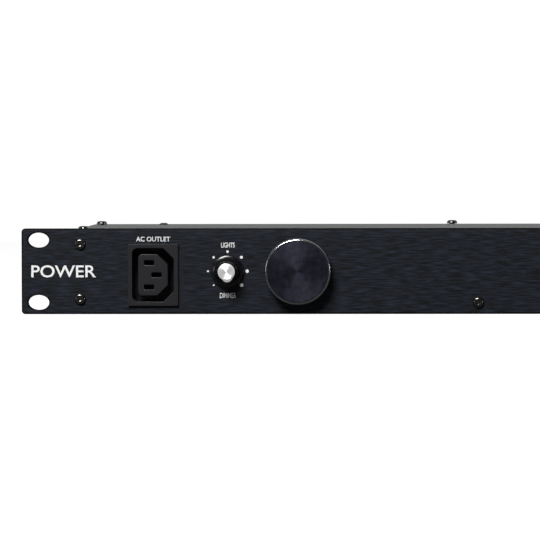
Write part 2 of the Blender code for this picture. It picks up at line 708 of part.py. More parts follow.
def front_outlet():
    """The outlet's moulding, with the recess around a core with three slots, and its contacts."""
    at = (OUTLET_X, FRONT_Y - FIT_GAP, OUTLET_Z)
    flange = plate(rectangle(OUTLET_FLANGE_W, OUTLET_FLANGE_H), (), -OUTLET_FLANGE_T, 0)
    outlet = place("front_outlet", flange, "outlet_plastic", at)
    body = rectangle(OUTLET_BODY_W, OUTLET_BODY_H)
    add(outlet, "body", plate(body, (), -OUTLET_FLANGE_T / 2, OUTLET_DEPTH), at)
    outer = socket_outline(OUTLET_RECESS_W, OUTLET_RECESS_H, OUTLET_CORNER_R, OUTLET_CHAMFER)
    core_w = OUTLET_RECESS_W - 2 * OUTLET_GROOVE
    core_h = OUTLET_RECESS_H - 2 * OUTLET_GROOVE
    core = socket_outline(core_w, core_h, OUTLET_CORNER_R * 0.8, OUTLET_CHAMFER)
    cut(outlet, "recess", plate(outer, [core], -CUT_MARGIN, OUTLET_RECESS_DEPTH), at)
    contacts = [
        ("live", OUTLET_PIN_SHIFT, OUTLET_PIN_RISE),
        ("neutral", OUTLET_PIN_SHIFT, -OUTLET_PIN_RISE),
        ("earth", OUTLET_EARTH_SHIFT, 0.0),
    ]
    for name, x, z in contacts:
        contact_at = (at[0] + x, at[1], at[2] + z)
        outline = rectangle(OUTLET_SLOT_W, OUTLET_SLOT_H)
        hole = plate(outline, (), -CUT_MARGIN, OUTLET_DEPTH + CUT_MARGIN)
        cut(outlet, f"slot_{name}", hole, contact_at)
        outlet_contact(f"outlet_contact_{name}", contact_at)


def outlet_contact(name, at):
    """A spring contact: two leaves that grip the plug's pin, joined into a tail."""
    half = OUTLET_SLOT_H / 2 - CONTACT_GAP
    inner = half - CONTACT_LEAF_T
    front = CONTACT_FRONT
    join = OUTLET_DEPTH - OUTLET_FLANGE_T - CONTACT_INSET
    tail = OUTLET_DEPTH + CONTACT_TAIL
    upper = [(tail, half), (front, half), (front, inner), (join, inner)]
    width = OUTLET_SLOT_W - 2 * CONTACT_GAP
    outline = upper + [(y, -z) for y, z in reversed(upper)]
    place(name, plate(outline, (), -width / 2, width / 2, "X"), "brass", at)


# Dimmer


def dimmer():
    """Knob, inlay, shaft, nut and potentiometer, all on one axis."""
    axis = (DIMMER_X, FRONT_Y, MIDDLE_Z)
    foot = -KNOB_GAP
    top = foot - KNOB_H
    tip = top + SHAFT_TIP
    skirt_bore = KNOB_SKIRT_R - KNOB_WALL
    profile = [
        (0, tip - FIT_GAP),
        (SHAFT_R + FIT_GAP, tip - FIT_GAP),
        (SHAFT_R + FIT_GAP, foot - KNOB_HOLLOW_H),
        (skirt_bore, foot - KNOB_SKIRT_H),
        (skirt_bore, foot),
        (KNOB_SKIRT_R, foot),
        (KNOB_SKIRT_R, foot - KNOB_SKIRT_H * 0.6),
        (KNOB_BASE_R, foot - KNOB_SKIRT_H * 1.4),
        (KNOB_TOP_R, top + KNOB_EDGE),
        (KNOB_TOP_R - KNOB_EDGE, top),
        (0, top),
    ]
    knob = place("dimmer_knob", turned(profile, FINE), "knob_plastic", axis)
    cut(knob, "inlay_seat", plate(inlay_outline(FIT_GAP), (), top - CUT_MARGIN, top + INLAY_SEAT), axis)
    inlay_back = top + INLAY_SEAT - FIT_GAP
    disc = plate(inlay_outline(0.0), (), inlay_back - INLAY_T, inlay_back)
    inlay = place("dimmer_inlay", disc, "spun_aluminium", axis)
    shaft_end = PANEL_SEAT + POT_DEPTH / 2
    shaft = place("dimmer_shaft", rod(SHAFT_R, tip, shaft_end, COARSE), "steel", axis)
    nut = plate(circle(POT_NUT_R, 6), [circle(THREAD_R + FIT_GAP, COARSE)], -FIT_GAP - POT_NUT_T, -FIT_GAP)
    place("dimmer_nut", nut, "steel", axis)
    body = plate(rounded(POT_W, POT_H, POT_CORNER_R), (), PANEL_SEAT, PANEL_SEAT + POT_DEPTH)
    pot = place("dimmer_potentiometer", body, "nylon_black", axis)
    add(pot, "bush", rod(THREAD_R, -POT_NUT_T - 2 * FIT_GAP, PANEL_SEAT + WELD, COARSE), axis)
    cut(pot, "bore", rod(SHAFT_R + FIT_GAP, -CUT_MARGIN, shaft_end + FIT_GAP, COARSE), axis)
    smooth(knob, inlay, shaft, pot)


def rod(radius, start, end, steps):
    """A plain round rod along Y."""
    return turned([(0, start), (radius, start), (radius, end), (0, end)], steps)


def inlay_outline(gap):
    """The inlay's round outline with its pointer, grown by a gap."""
    radius = INLAY_R + gap
    half_width = POINTER_R + gap
    reach = POINTER_REACH + gap
    corner = math.degrees(math.asin(half_width / radius))
    points = arc(0, 0, radius, corner, 360 - corner, MEDIUM)
    tip = reach - half_width * 0.4
    points += [(tip, -half_width * 0.6), (reach, 0), (tip, half_width * 0.6)]
    return turned_outline(points, math.pi / 2 - POINTER_TURN)


# Lamps


def lamp(side, sign):
    """One pull-out lamp: what turns, the carriage that slides, and the guide that stays."""
    axis = (sign * LAMP_X, BACK_Y, MIDDLE_Z)
    lamp_shell(side, axis)
    lamp_inside(side, axis)
    lamp_end_plug(side, axis)
    lamp_carriage(side, axis)
    lamp_guide(side, axis)


def lamp_seat():
    """Where the cap seats on the panel, along the lamp's axis."""
    return -PANEL_T - FIT_GAP


def lamp_shell(side, axis):
    """The cap with its spigot, and the tube with the window in its underside."""
    seat = lamp_seat()
    front = seat - LAMP_CAP_H
    spigot = LAMP_BORE_R - FIT_GAP
    profile = [
        (0, front),
        (LAMP_CAP_R - LAMP_CAP_CHAMFER, front),
        (LAMP_CAP_R, front + LAMP_CAP_CHAMFER),
        (LAMP_CAP_R, seat),
        (spigot, seat),
        (spigot, seat + LAMP_SPIGOT_H),
        (0, seat + LAMP_SPIGOT_H),
    ]
    cap = place(f"{side}_lamp_cap", turned(profile, FINE), "cap_black", axis)
    start = seat + FIT_GAP
    end = LAMP_TUBE_END
    ring = [(LAMP_TUBE_R, start), (LAMP_TUBE_R, end), (LAMP_BORE_R, end), (LAMP_BORE_R, start)]
    tube = place(f"{side}_lamp_tube", turned(ring, FINE, closed=True), "tube_black", axis)
    opening = rectangle(2 * LAMP_TUBE_R * math.sin(LAMP_WINDOW_HALF), LAMP_TUBE_R)
    window = plate(opening, (), LAMP_WINDOW_START, LAMP_WINDOW_START + LAMP_WINDOW_LENGTH)
    cut(tube, "window", window, (axis[0], axis[1], axis[2] - LAMP_TUBE_R))
    smooth(cap, tube)


def lamp_inside(side, axis):
    """The curved lens over the window, and the board with the lit parts above it."""
    start = lamp_seat() + LAMP_SPIGOT_H + FIT_GAP
    end = LAMP_TUBE_END - PLUG_LENGTH - FIT_GAP
    lens_r = LAMP_BORE_R - FIT_GAP
    half = math.degrees(LENS_HALF)
    outline = arc(0, 0, lens_r, -90 - half, -90 + half, COARSE)
    outline += arc(0, 0, lens_r - LENS_T, -90 + half, -90 - half, COARSE)
    smooth(place(f"{side}_lamp_lens", plate(outline, (), start, end), "lens_frosted", axis))
    width = 2 * (math.sqrt(lens_r**2 - LED_BOARD_DROP**2) - LED_BOARD_GAP)
    board = block((width, end - start, LED_BOARD_T), (0, (start + end) / 2, LED_BOARD_T / 2 - LED_BOARD_DROP))
    leds = place(f"{side}_lamp_led_board", board, "board_green", axis)
    pitch = LAMP_WINDOW_LENGTH / LED_COUNT
    height = LED_H + WELD
    for n in range(LED_COUNT):
        centre = (0, LAMP_WINDOW_START + pitch * (n + 0.5), WELD - height / 2 - LED_BOARD_DROP)
        add(leds, f"led_{n}", block((LED_SIDE, LED_SIDE, height), centre), axis)


def lamp_end_plug(side, axis):
    """The plug in the tube's rear end, with the pivot that turns in the carriage and its head."""
    plug_r = LAMP_BORE_R - FIT_GAP
    pivot_end = LAMP_TUBE_END + CARRIAGE_T + 2 * SLIDE_GAP
    head_end = pivot_end + PIVOT_HEAD_T
    profile = [
        (0, LAMP_TUBE_END - PLUG_LENGTH),
        (plug_r, LAMP_TUBE_END - PLUG_LENGTH),
        (plug_r, LAMP_TUBE_END),
        (PIVOT_R, LAMP_TUBE_END),
        (PIVOT_R, pivot_end),
        (PIVOT_HEAD_R, pivot_end),
        (PIVOT_R, head_end),
        (0, head_end),
    ]
    smooth(place(f"{side}_lamp_end_plug", turned(profile, MEDIUM), "nylon_black", axis))


def lamp_carriage(side, axis):
    """The block that slides in the guide and carries the tube's rear pivot."""
    front = LAMP_TUBE_END + SLIDE_GAP
    low = GUIDE_FLOOR_Z + SLIDE_GAP - MIDDLE_Z
    outline = moved(rectangle(CARRIAGE_W, CARRIAGE_TOP - low), 0, (CARRIAGE_TOP + low) / 2)
    bore = circle(PIVOT_R + SLIDE_GAP, MEDIUM)
    carriage = plate(outline, [bore], front, front + CARRIAGE_T)
    place(f"{side}_lamp_carriage", carriage, "nylon_black", axis)


def lamp_guide(side, axis):
    """The fixed guide: a block that the tube slides through, and a channel for the carriage."""
    front = CASE_FRONT - BACK_Y
    low = FLOOR_Z + FIT_GAP - MIDDLE_Z
    high = CEILING_Z - FIT_GAP - MIDDLE_Z
    outer = moved(rectangle(2 * GUIDE_HALF_W, high - low), 0, (high + low) / 2)
    bore = circle(LAMP_TUBE_R + SLIDE_GAP, FINE)
    block_end = front + GUIDE_BLOCK_T
    body = place(f"{side}_lamp_guide", plate(outer, [bore], front, block_end), "nylon_black", axis)
    outside = GUIDE_HALF_W - WELD
    inside = GUIDE_HALF_W - GUIDE_WALL
    wall_top = low + GUIDE_WALL_H
    floor = GUIDE_FLOOR_Z - MIDDLE_Z
    right = [(outside, low + WELD), (outside, wall_top), (inside, wall_top), (inside, floor)]
    section = right + [(-x, z) for x, z in reversed(right)]
    add(body, "channel", plate(section, (), block_end - WELD, GUIDE_END), axis)


# Power switch


def power_switch():
    """The housing with its terminals, and the rocker that tips in it."""
    at = (SWITCH_X, FRONT_Y - FIT_GAP, MIDDLE_Z - OUTLET_DROP)
    bezel = plate(rectangle(SWITCH_BEZEL_W, SWITCH_BEZEL_H), (), -SWITCH_BEZEL_T, 0)
    housing = place("power_switch_housing", bezel, "knob_plastic", at)
    body = rectangle(SWITCH_BODY_W, SWITCH_BODY_H)
    add(housing, "body", plate(body, (), -SWITCH_BEZEL_T / 2, SWITCH_DEPTH), at)
    cavity_w = SWITCH_BODY_W - 2 * SWITCH_SIDE_WALL
    cavity_h = SWITCH_BODY_H - 2 * SWITCH_END_WALL
    cut(housing, "cavity", plate(rectangle(cavity_w, cavity_h), (), -CUT_MARGIN, SWITCH_CAVITY_DEPTH), at)
    pin_end = cavity_w / 2 + ROCKER_PIN_OUT
    hole_end = pin_end + FIT_GAP
    pin_hole = plate(circle(ROCKER_PIN_R + FIT_GAP, COARSE), (), -hole_end, hole_end, "X")
    pivot = (at[0], FRONT_Y + ROCKER_PIVOT_IN, at[2])
    cut(housing, "pin_holes", pin_hole, pivot)
    blade_size = (TERMINAL_T, TERMINAL_REACH + WELD, TERMINAL_W)
    for n, (u, v) in enumerate(((-1, -1), (-1, 1), (1, -1), (1, 1))):
        blade_at = (at[0] + u * SWITCH_TERMINAL_X, at[1] + SWITCH_DEPTH, at[2] + v * SWITCH_TERMINAL_Z)
        blade = block(blade_size, (0, (TERMINAL_REACH - WELD) / 2, 0))
        add(housing, f"terminal_{n}", blade, blade_at)
    rocker_w = cavity_w - 2 * ROCKER_SIDE_GAP
    half_h = cavity_h / 2 - ROCKER_END_GAP
    front = -ROCKER_PIVOT_IN - ROCKER_PROUD
    back = front + ROCKER_T
    upper = [(front, half_h), (back, half_h), (ROCKER_PIN_R, ROCKER_PIN_R)]
    lower = [(y, -z) for y, z in reversed(upper)]
    outline = [*upper, *lower, (front + half_h * math.tan(ROCKER_TILT), 0)]
    shape = plate(outline, (), -rocker_w / 2, rocker_w / 2, "X")
    rocker = place("power_switch_rocker", shape, "rocker_red", pivot)
    rocker.rotation_euler = (ROCKER_TILT, 0, 0)
    add(rocker, "pins", plate(circle(ROCKER_PIN_R, COARSE), (), -pin_end, pin_end, "X"), pivot)


# Circuit breaker and indicator


def breaker():
    """The thermal breaker with a threaded bush, its nut and its reset button."""
    axis = (BREAKER_X, FRONT_Y, MIDDLE_Z)
    back = PANEL_SEAT + BREAKER_DEPTH
    case = plate(rectangle(BREAKER_W, BREAKER_H), (), PANEL_SEAT, back)
    body = place("breaker_body", case, "nylon_black", axis)
    add(body, "bush", rod(BREAKER_BUSH_R, -BREAKER_BUSH_OUT, PANEL_SEAT + WELD, MEDIUM), axis)
    reach = BREAKER_BUSH_OUT + CUT_MARGIN
    cut(body, "bore", rod(BUTTON_R + FIT_GAP, -reach, BUTTON_IN + FIT_GAP, MEDIUM), axis)
    blade_size = (TERMINAL_W, TERMINAL_REACH + WELD, TERMINAL_T)
    for name, end in (("lower", -1), ("upper", 1)):
        blade = block(blade_size, (0, (TERMINAL_REACH - WELD) / 2, 0))
        add(body, f"terminal_{name}", blade, (axis[0], axis[1] + back, axis[2] + end * BREAKER_TERMINAL_Z))
    hole = circle(BREAKER_BUSH_R + FIT_GAP, COARSE)
    nut = plate(circle(BREAKER_NUT_R, 6), [hole], -FIT_GAP - BREAKER_NUT_T, -FIT_GAP)
    place("breaker_nut", nut, "steel", axis)
    tip = -BUTTON_OUT
    crown = [(0, tip), (BUTTON_R - BUTTON_EDGE, tip), (BUTTON_R, tip + BUTTON_EDGE)]
    profile = [*crown, (BUTTON_R, BUTTON_IN), (0, BUTTON_IN)]
    smooth(place("breaker_button", turned(profile, MEDIUM), "button_white", axis))


def indicator():
    """The light that shows the surge protection is working: a domed lens on a round body."""
    steps = 4
    angles = [math.pi / 2 * n / steps for n in range(steps + 1)]
    dome = [(INDICATOR_R * math.sin(a), -INDICATOR_OUT * math.cos(a)) for a in angles]
    end = PANEL_SEAT + INDICATOR_BODY
    body = [(INDICATOR_R, PANEL_SEAT), (INDICATOR_FLANGE_R, PANEL_SEAT), (INDICATOR_FLANGE_R, end), (0, end)]
    lens = turned(dome + body, COARSE)
    smooth(place("indicator_lens", lens, "indicator_green", (INDICATOR_X, FRONT_Y, MIDDLE_Z)))


# Rear wall


def power_inlet():
    """The mains inlet: a shroud with three pins in it."""
    at = (INLET_X, REAR_SEAT_Y, MIDDLE_Z)
    flange = plate(rounded(INLET_FLANGE_W, INLET_FLANGE_H, INLET_FLANGE_R), (), 0, REAR_FLANGE_T)
    inlet = place("inlet_housing", flange, "outlet_plastic", at)
    floor = REAR_FLANGE_T - INLET_CAVITY_DEPTH
    back = floor - INLET_FLOOR
    add(inlet, "body", plate(rectangle(INLET_BODY_W, INLET_BODY_H), (), back, REAR_FLANGE_T / 2), at)
    outline = socket_outline(INLET_CAVITY_H, INLET_CAVITY_W, INLET_CORNER_R, INLET_CHAMFER)
    cavity = turned_outline(outline, -math.pi / 2)
    cut(inlet, "cavity", plate(cavity, (), floor, REAR_FLANGE_T + CUT_MARGIN), at)
    pins = [
        ("live", INLET_PIN_SPREAD, INLET_PIN_SHIFT),
        ("neutral", -INLET_PIN_SPREAD, INLET_PIN_SHIFT),
        ("earth", 0.0, -INLET_PIN_SHIFT),
    ]
    for name, x, z in pins:
        pin_at = (at[0] + x, at[1], at[2] + z)
        hole = plate(cutout(INLET_PIN_W, INLET_PIN_H), (), back - CUT_MARGIN, floor + CUT_MARGIN)
        cut(inlet, f"hole_{name}", hole, pin_at)
        pin = plate(rectangle(INLET_PIN_W, INLET_PIN_H), (), -INLET_TAIL, floor + INLET_PIN_REACH)
        place(f"inlet_pin_{name}", pin, "brass", pin_at)


def rear_outlets():
    """Two blocks of outlets in the rear wall, facing the rear."""
    for name, x in rear_blocks():
        at = (x, REAR_SEAT_Y, MIDDLE_Z)
        flange = plate(rectangle(REAR_BLOCK_W, REAR_FLANGE_H), (), 0, REAR_FLANGE_T)
        outlets = place(name, flange, "outlet_plastic", at)
        body = rectangle(REAR_BODY_W, REAR_BODY_H)
        add(outlets, "body", plate(body, (), -REAR_DEPTH, REAR_FLANGE_T / 2), at)
        first = x - REAR_PITCH * (REAR_OUTLETS_PER_BLOCK - 1) / 2
        for n in range(REAR_OUTLETS_PER_BLOCK):
            rear_socket(outlets, n, (first + n * REAR_PITCH, REAR_SEAT_Y + REAR_FLANGE_T, MIDDLE_Z))


def rear_socket(outlets, number, at):
    """One socket in an outlet block: the recess around its core, and three slots."""
    outer = socket_outline(REAR_RECESS_W, REAR_RECESS_H, REAR_CORNER_R, REAR_CHAMFER)
    core_w = REAR_RECESS_W - 2 * OUTLET_GROOVE
    core_h = REAR_RECESS_H - 2 * OUTLET_GROOVE
    core = socket_outline(core_w, core_h, REAR_CORNER_R * 0.8, REAR_CHAMFER)
    cut(outlets, f"recess_{number}", plate(outer, [core], -REAR_RECESS_DEPTH, CUT_MARGIN), at)
    shift = REAR_EARTH_SHIFT / 2
    pins = [("live", -shift, REAR_PIN_RISE), ("neutral", -shift, -REAR_PIN_RISE), ("earth", shift, 0)]
    for name, x, z in pins:
        hole = plate(rectangle(REAR_SLOT_W, REAR_SLOT_H), (), -REAR_SLOT_DEPTH, CUT_MARGIN)
        cut(outlets, f"slot_{number}_{name}", hole, (at[0] + x, at[1], at[2] + z))


def bus_bars():
    """Three bars that join the contacts of every rear outlet."""
    (_, left), (_, right) = rear_blocks()
    length = right - left + REAR_BODY_W
    middle = (left + right) / 2
    for name, z in (("live", REAR_PIN_RISE), ("neutral", -REAR_PIN_RISE), ("earth", 0.0)):
        place(f"bus_bar_{name}", block((length, BAR_T, BAR_H)), "brass", (middle, BAR_Y, MIDDLE_Z + z))


def earth_stud():
    """The bonding stud through the rear wall, with its nut on the outside."""
    at = (CASE_W / 2 - STUD_INSET, CASE_REAR - SHEET_T / 2, MIDDLE_Z)
    end = STUD_LENGTH / 2
    profile = [(0, -end), (STUD_R, -end), (STUD_R, end - STUD_EDGE), (STUD_R - STUD_EDGE, end), (0, end)]
    stud = place("earth_stud", turned(profile, COARSE), "brass", at)
    add(stud, "nut", plate(circle(STUD_NUT_R, 6), (), FIT_GAP, FIT_GAP + STUD_NUT_T), at)


# Inside


def filter_board():
    """The board with the surge and noise filter, and the parts that stand on it."""
    board = block((BOARD_W, BOARD_LENGTH, BOARD_T), (0, 0, BOARD_T / 2))
    place("filter_board", board, "board_green", (0, BOARD_MIDDLE_Y, BOARD_Z))
    top = BOARD_Z + BOARD_T + FIT_GAP
    front = BOARD_MIDDLE_Y - BOARD_LENGTH / 4
    rear = BOARD_MIDDLE_Y + BOARD_LENGTH / 4
    ring = moved(circle(CHOKE_WIRE_R, 8, math.pi / 8), CHOKE_R - CHOKE_WIRE_R, 0)
    choke_at = (-BOARD_W / 4, front, top + CHOKE_WIRE_R)
    choke = place("filter_choke", upright(turned(ring, MEDIUM, closed=True)), "copper", choke_at)
    case = block(CAPACITOR_SIZE, (0, 0, CAPACITOR_SIZE[2] / 2))
    place("filter_capacitor", case, "capacitor_yellow", (BOARD_W / 4, front, top))
    disc = rod(VARISTOR_R, -VARISTOR_T / 2, VARISTOR_T / 2, MEDIUM)
    varistor = place("surge_varistor", disc, "varistor_blue", (BOARD_W / 4, rear, top + VARISTOR_R))
    smooth(choke, varistor)


def lamp_transformer():
    """The small transformer that feeds the lamps."""
    at = (-CASE_W / 2 + TRANSFORMER_INSET, BACK_Y + TRANSFORMER_FRONT, FLOOR_Z + FIT_GAP)
    middle = (0, 0, TRANSFORMER_SIZE[2] / 2)
    core = place("lamp_transformer", block(TRANSFORMER_SIZE, middle), "steel", at)
    add(core, "coil", block(TRANSFORMER_COIL, middle), at)


def smooth_route(points, per_span):
    """Points along a smooth curve through the route's own points."""
    route = [Vector(p) for p in points]
    padded = [2 * route[0] - route[1], *route, 2 * route[-1] - route[-2]]
    found = []
    for before, start, end, after in zip(padded, padded[1:], padded[2:], padded[3:]):
        for n in range(per_span):
            t = n / per_span
            a = 2 * start
            b = (end - before) * t
            c = (2 * before - 5 * start + 4 * end - after) * t * t
            d = (3 * start - before - 3 * end + after) * t * t * t
            found.append((a + b + c + d) / 2)
    return [*found, route[-1]]


def lead(name, points, finish):
    """An insulated wire along a route."""
    curve = bpy.data.curves.new(name, "CURVE")
    curve.dimensions = "3D"
    curve.bevel_depth = LEAD_R
    curve.bevel_resolution = 2
    curve.use_fill_caps = True
    path = smooth_route(points, LEAD_POINTS_PER_SPAN)
    spline = curve.splines.new("POLY")
    spline.points.add(len(path) - 1)
    for point, at in zip(spline.points, path):
        point.co = (*at, 1.0)
    curve.materials.append(finish_of(finish))
    bpy.context.scene.collection.objects.link(bpy.data.objects.new(name, curve))


def leads():
    """Wires from the inlet's pins to the breaker, the switch and the earth stud, by hand-laid routes."""
    start_y = REAR_SEAT_Y - INLET_TAIL - FIT_GAP
    breaker_y = FRONT_Y + PANEL_SEAT + BREAKER_DEPTH + TERMINAL_REACH + FIT_GAP
    breaker_z = MIDDLE_Z - BREAKER_TERMINAL_Z
    live_x = INLET_X - INLET_PIN_SPREAD
    live = [
        (live_x, start_y, MIDDLE_Z + INLET_PIN_SHIFT),
        (live_x, start_y - 0.012, MIDDLE_Z + INLET_PIN_SHIFT),
        (live_x - 0.004, start_y - 0.030, FLOOR_Z + 0.010),
        (BREAKER_X, breaker_y + 0.030, FLOOR_Z + 0.006),
        (BREAKER_X, breaker_y + 0.012, breaker_z),
        (BREAKER_X, breaker_y, breaker_z),
    ]
    lead("live_lead", live, "lead_brown")
    switch_x = SWITCH_X + SWITCH_TERMINAL_X
    switch_y = FRONT_Y - FIT_GAP + SWITCH_DEPTH + TERMINAL_REACH + FIT_GAP
    switch_z = MIDDLE_Z - OUTLET_DROP + SWITCH_TERMINAL_Z
    neutral_x = INLET_X + INLET_PIN_SPREAD
    neutral = [
        (neutral_x, start_y, MIDDLE_Z + INLET_PIN_SHIFT),
        (neutral_x, start_y - 0.012, MIDDLE_Z + INLET_PIN_SHIFT),
        (neutral_x + 0.006, start_y - 0.034, FLOOR_Z + 0.012),
        (SWITCH_X - 0.002, switch_y + 0.036, FLOOR_Z + 0.010),
        (switch_x, switch_y + 0.012, switch_z),
        (switch_x, switch_y, switch_z),
    ]
    lead("neutral_lead", neutral, "lead_blue")
    stud_x = CASE_W / 2 - STUD_INSET
    stud_y = CASE_REAR - SHEET_T / 2 - STUD_LENGTH / 2 - FIT_GAP
    earth = [
        (INLET_X, start_y, MIDDLE_Z - INLET_PIN_SHIFT),
        (INLET_X, start_y - 0.008, MIDDLE_Z - INLET_PIN_SHIFT),
        (INLET_X + 0.014, start_y - 0.022, FLOOR_Z + 0.006),
        (stud_x - 0.006, start_y - 0.018, FLOOR_Z + 0.012),
        (stud_x, stud_y - 0.010, MIDDLE_Z),
        (stud_x, stud_y, MIDDLE_Z),
    ]
    lead("earth_lead", earth, "lead_green")


def main():
    """Builds the whole unit."""
    clear_scene()
    front_panel()
    chassis_tray()
    top_cover()
    screws()
    front_outlet()
    dimmer()
    lamp("left", -1)
    lamp("right", 1)
    power_switch()
    breaker()
    indicator()
    power_inlet()
    rear_outlets()
    bus_bars()
    earth_stud()
    filter_board()
    lamp_transformer()
    leads()


main()
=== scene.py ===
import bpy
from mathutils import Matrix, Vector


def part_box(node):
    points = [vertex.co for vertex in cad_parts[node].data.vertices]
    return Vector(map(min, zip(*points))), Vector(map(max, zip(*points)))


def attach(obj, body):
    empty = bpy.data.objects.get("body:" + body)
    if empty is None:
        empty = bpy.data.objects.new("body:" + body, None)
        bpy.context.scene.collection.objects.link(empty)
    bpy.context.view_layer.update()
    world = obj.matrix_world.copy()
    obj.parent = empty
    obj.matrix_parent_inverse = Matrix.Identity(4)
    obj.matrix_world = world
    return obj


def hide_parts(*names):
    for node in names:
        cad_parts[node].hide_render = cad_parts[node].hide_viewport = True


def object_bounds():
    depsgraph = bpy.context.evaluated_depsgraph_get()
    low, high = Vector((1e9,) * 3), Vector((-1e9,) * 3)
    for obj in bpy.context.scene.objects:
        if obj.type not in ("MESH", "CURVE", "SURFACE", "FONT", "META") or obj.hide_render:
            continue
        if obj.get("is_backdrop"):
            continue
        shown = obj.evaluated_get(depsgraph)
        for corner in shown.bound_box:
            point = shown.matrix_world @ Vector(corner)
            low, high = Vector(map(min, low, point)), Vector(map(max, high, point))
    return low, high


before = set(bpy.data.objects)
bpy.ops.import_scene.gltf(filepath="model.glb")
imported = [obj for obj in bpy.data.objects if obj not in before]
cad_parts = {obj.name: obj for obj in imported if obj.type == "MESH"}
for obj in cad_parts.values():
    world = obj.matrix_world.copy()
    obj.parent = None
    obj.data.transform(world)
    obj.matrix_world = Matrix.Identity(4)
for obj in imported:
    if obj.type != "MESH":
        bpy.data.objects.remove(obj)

"""Looks of a one-unit rack power strip with a mains outlet, a lamp dimmer and two pull-out lamps.

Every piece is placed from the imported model's own boxes. Lengths are in metres; +X is to the right seen
from the front, +Y to the rear and +Z up. Outlines are lists of (across, up) points seen from the front.
"""

import logging
import math
from collections.abc import Callable, Mapping, Sequence
from dataclasses import dataclass, field
from enum import Enum
from typing import Any, Union

import bmesh
import bpy
from mathutils import Matrix, Vector

LOG = logging.getLogger("power_strip")

BORE = 0.0004  # radius of the small flat that closes a turned shape on its axis
CRISP = 0.00001  # edge radius of a plate whose edges aren't meant to look rounded
CLEARANCE = 0.0003  # between pieces that fit inside one another

Point = tuple[float, float]
Loop = list[Point]
Colour = tuple[float, float, float]
Outline = Callable[[float], Loop]
Ring = list[Vector]


# Shader arithmetic


class Signal:
    """An output socket of a shader graph, on which Python arithmetic adds Math nodes."""

    def __init__(self, graph: "Graph", socket: bpy.types.NodeSocket) -> None:
        """Wraps a socket."""
        self.graph = graph
        self.socket = socket

    def _maths(self, operation: str, first: "Operand", second: "Operand") -> "Signal":
        """Adds one Math node."""
        return self.graph.signal("ShaderNodeMath", {"operation": operation}, {0: first, 1: second})

    def __add__(self, other: "Operand") -> "Signal":
        """Self plus other."""
        return self._maths("ADD", self, other)

    def __rsub__(self, other: "Operand") -> "Signal":
        """Other minus self."""
        return self._maths("SUBTRACT", other, self)

    def __mul__(self, other: "Operand") -> "Signal":
        """Self times other."""
        return self._maths("MULTIPLY", self, other)


Operand = Union[Signal, float, Sequence[float]]


class Graph:
    """A node tree that is being filled."""

    def __init__(self, tree: bpy.types.NodeTree) -> None:
        """Starts on a tree."""
        self.tree = tree

    def node(
        self,
        kind: str,
        settings: Mapping[str, Any] | None = None,
        inputs: Mapping[str | int, Operand] | None = None,
    ) -> bpy.types.Node:
        """Adds a node.

        Args:
            kind: The node's type.
            settings: Its own settings, such as an operation, or a ramp's stops.
            inputs: Values or links of its sockets, by name or by number.

        Returns:
            The new node.
        """
        made = self.tree.nodes.new(kind)
        for key, value in (settings or {}).items():
            if key == "stops":
                self._stops(made.color_ramp, value)
            else:
                setattr(made, key, value)
        for key, value in (inputs or {}).items():
            self.feed(made.inputs[key], value)
        return made

    def signal(
        self,
        kind: str,
        settings: Mapping[str, Any] | None = None,
        inputs: Mapping[str | int, Operand] | None = None,
        output: str | int = 0,
    ) -> Signal:
        """Adds a node and takes one of its outputs."""
        return Signal(self, self.node(kind, settings, inputs).outputs[output])

    def feed(self, socket: bpy.types.NodeSocket, value: Operand) -> None:
        """Links or sets a socket.

        Args:
            socket: The input socket.
            value: A signal, a number or a list of numbers.
        """
        if isinstance(value, Signal):
            self.tree.links.new(value.socket, socket)
        elif isinstance(value, (int, float)):
            socket.default_value = value
        else:
            values = list(value)
            socket.default_value = values + [1.0] * (len(socket.default_value) - len(values))

    @staticmethod
    def _stops(ramp: bpy.types.ColorRamp, stops: Sequence[tuple[float, float]]) -> None:
        """Sets a ramp's stops."""
        while len(ramp.elements) < len(stops):
            ramp.elements.new(1.0)
        for element, (place, level) in zip(ramp.elements, stops):
            element.position = place
            element.color = (level, level, level, 1.0)

    def place(self, stretch: Sequence[float] = (1.0, 1.0, 1.0)) -> Signal:
        """The point's place on its object, stretched along each axis."""
        here = self.signal("ShaderNodeTexCoord", output="Object")
        return self.signal("ShaderNodeVectorMath", {"operation": "MULTIPLY"}, {0: here, 1: stretch})

    def noise(self, vector: Signal, scale: float, detail: float = 2.0, roughness: float = 0.5) -> Signal:
        """Smooth noise from 0 to 1."""
        inputs = {"Vector": vector, "Scale": scale, "Detail": detail, "Roughness": roughness}
        return self.signal("ShaderNodeTexNoise", {}, inputs)

    def ramp(self, value: Signal, stops: Sequence[tuple[float, float]]) -> Signal:
        """A value sent through a ramp of grey levels."""
        return self.signal("ShaderNodeValToRGB", {"stops": stops}, {"Fac": value})

    def tint(self, low: Sequence[float], high: Sequence[float], factor: Operand) -> Signal:
        """A colour between two."""
        inputs = {"Factor": factor, 6: (*low, 1.0), 7: (*high, 1.0)}
        return self.signal("ShaderNodeMix", {"data_type": "RGBA"}, inputs, output=2)

    def relief(self, height: Signal, depth: float, strength: float = 1.0) -> Signal:
        """A bumped normal."""
        inputs = {"Height": height, "Distance": depth, "Strength": strength}
        return self.signal("ShaderNodeBump", {}, inputs, "Normal")


# Finishes


@dataclass(frozen=True)
class Finish:
    """A finish that is made once, when it is first asked for."""

    name: str

    def material(self) -> bpy.types.Material:
        """The finish as a material.

        Returns:
            The material, made on the first call.
        """
        found = bpy.data.materials.get(f"looks_{self.name}")
        if found:
            return found
        made = bpy.data.materials.new(f"looks_{self.name}")
        made.use_nodes = True
        graph = Graph(made.node_tree)
        shader = made.node_tree.nodes["Principled BSDF"]
        for socket, value in self.surface(graph).items():
            graph.feed(shader.inputs[socket], value)
        return made

    def surface(self, graph: Graph) -> dict[str, Operand]:
        """The shader's sockets and what feeds them."""
        raise NotImplementedError


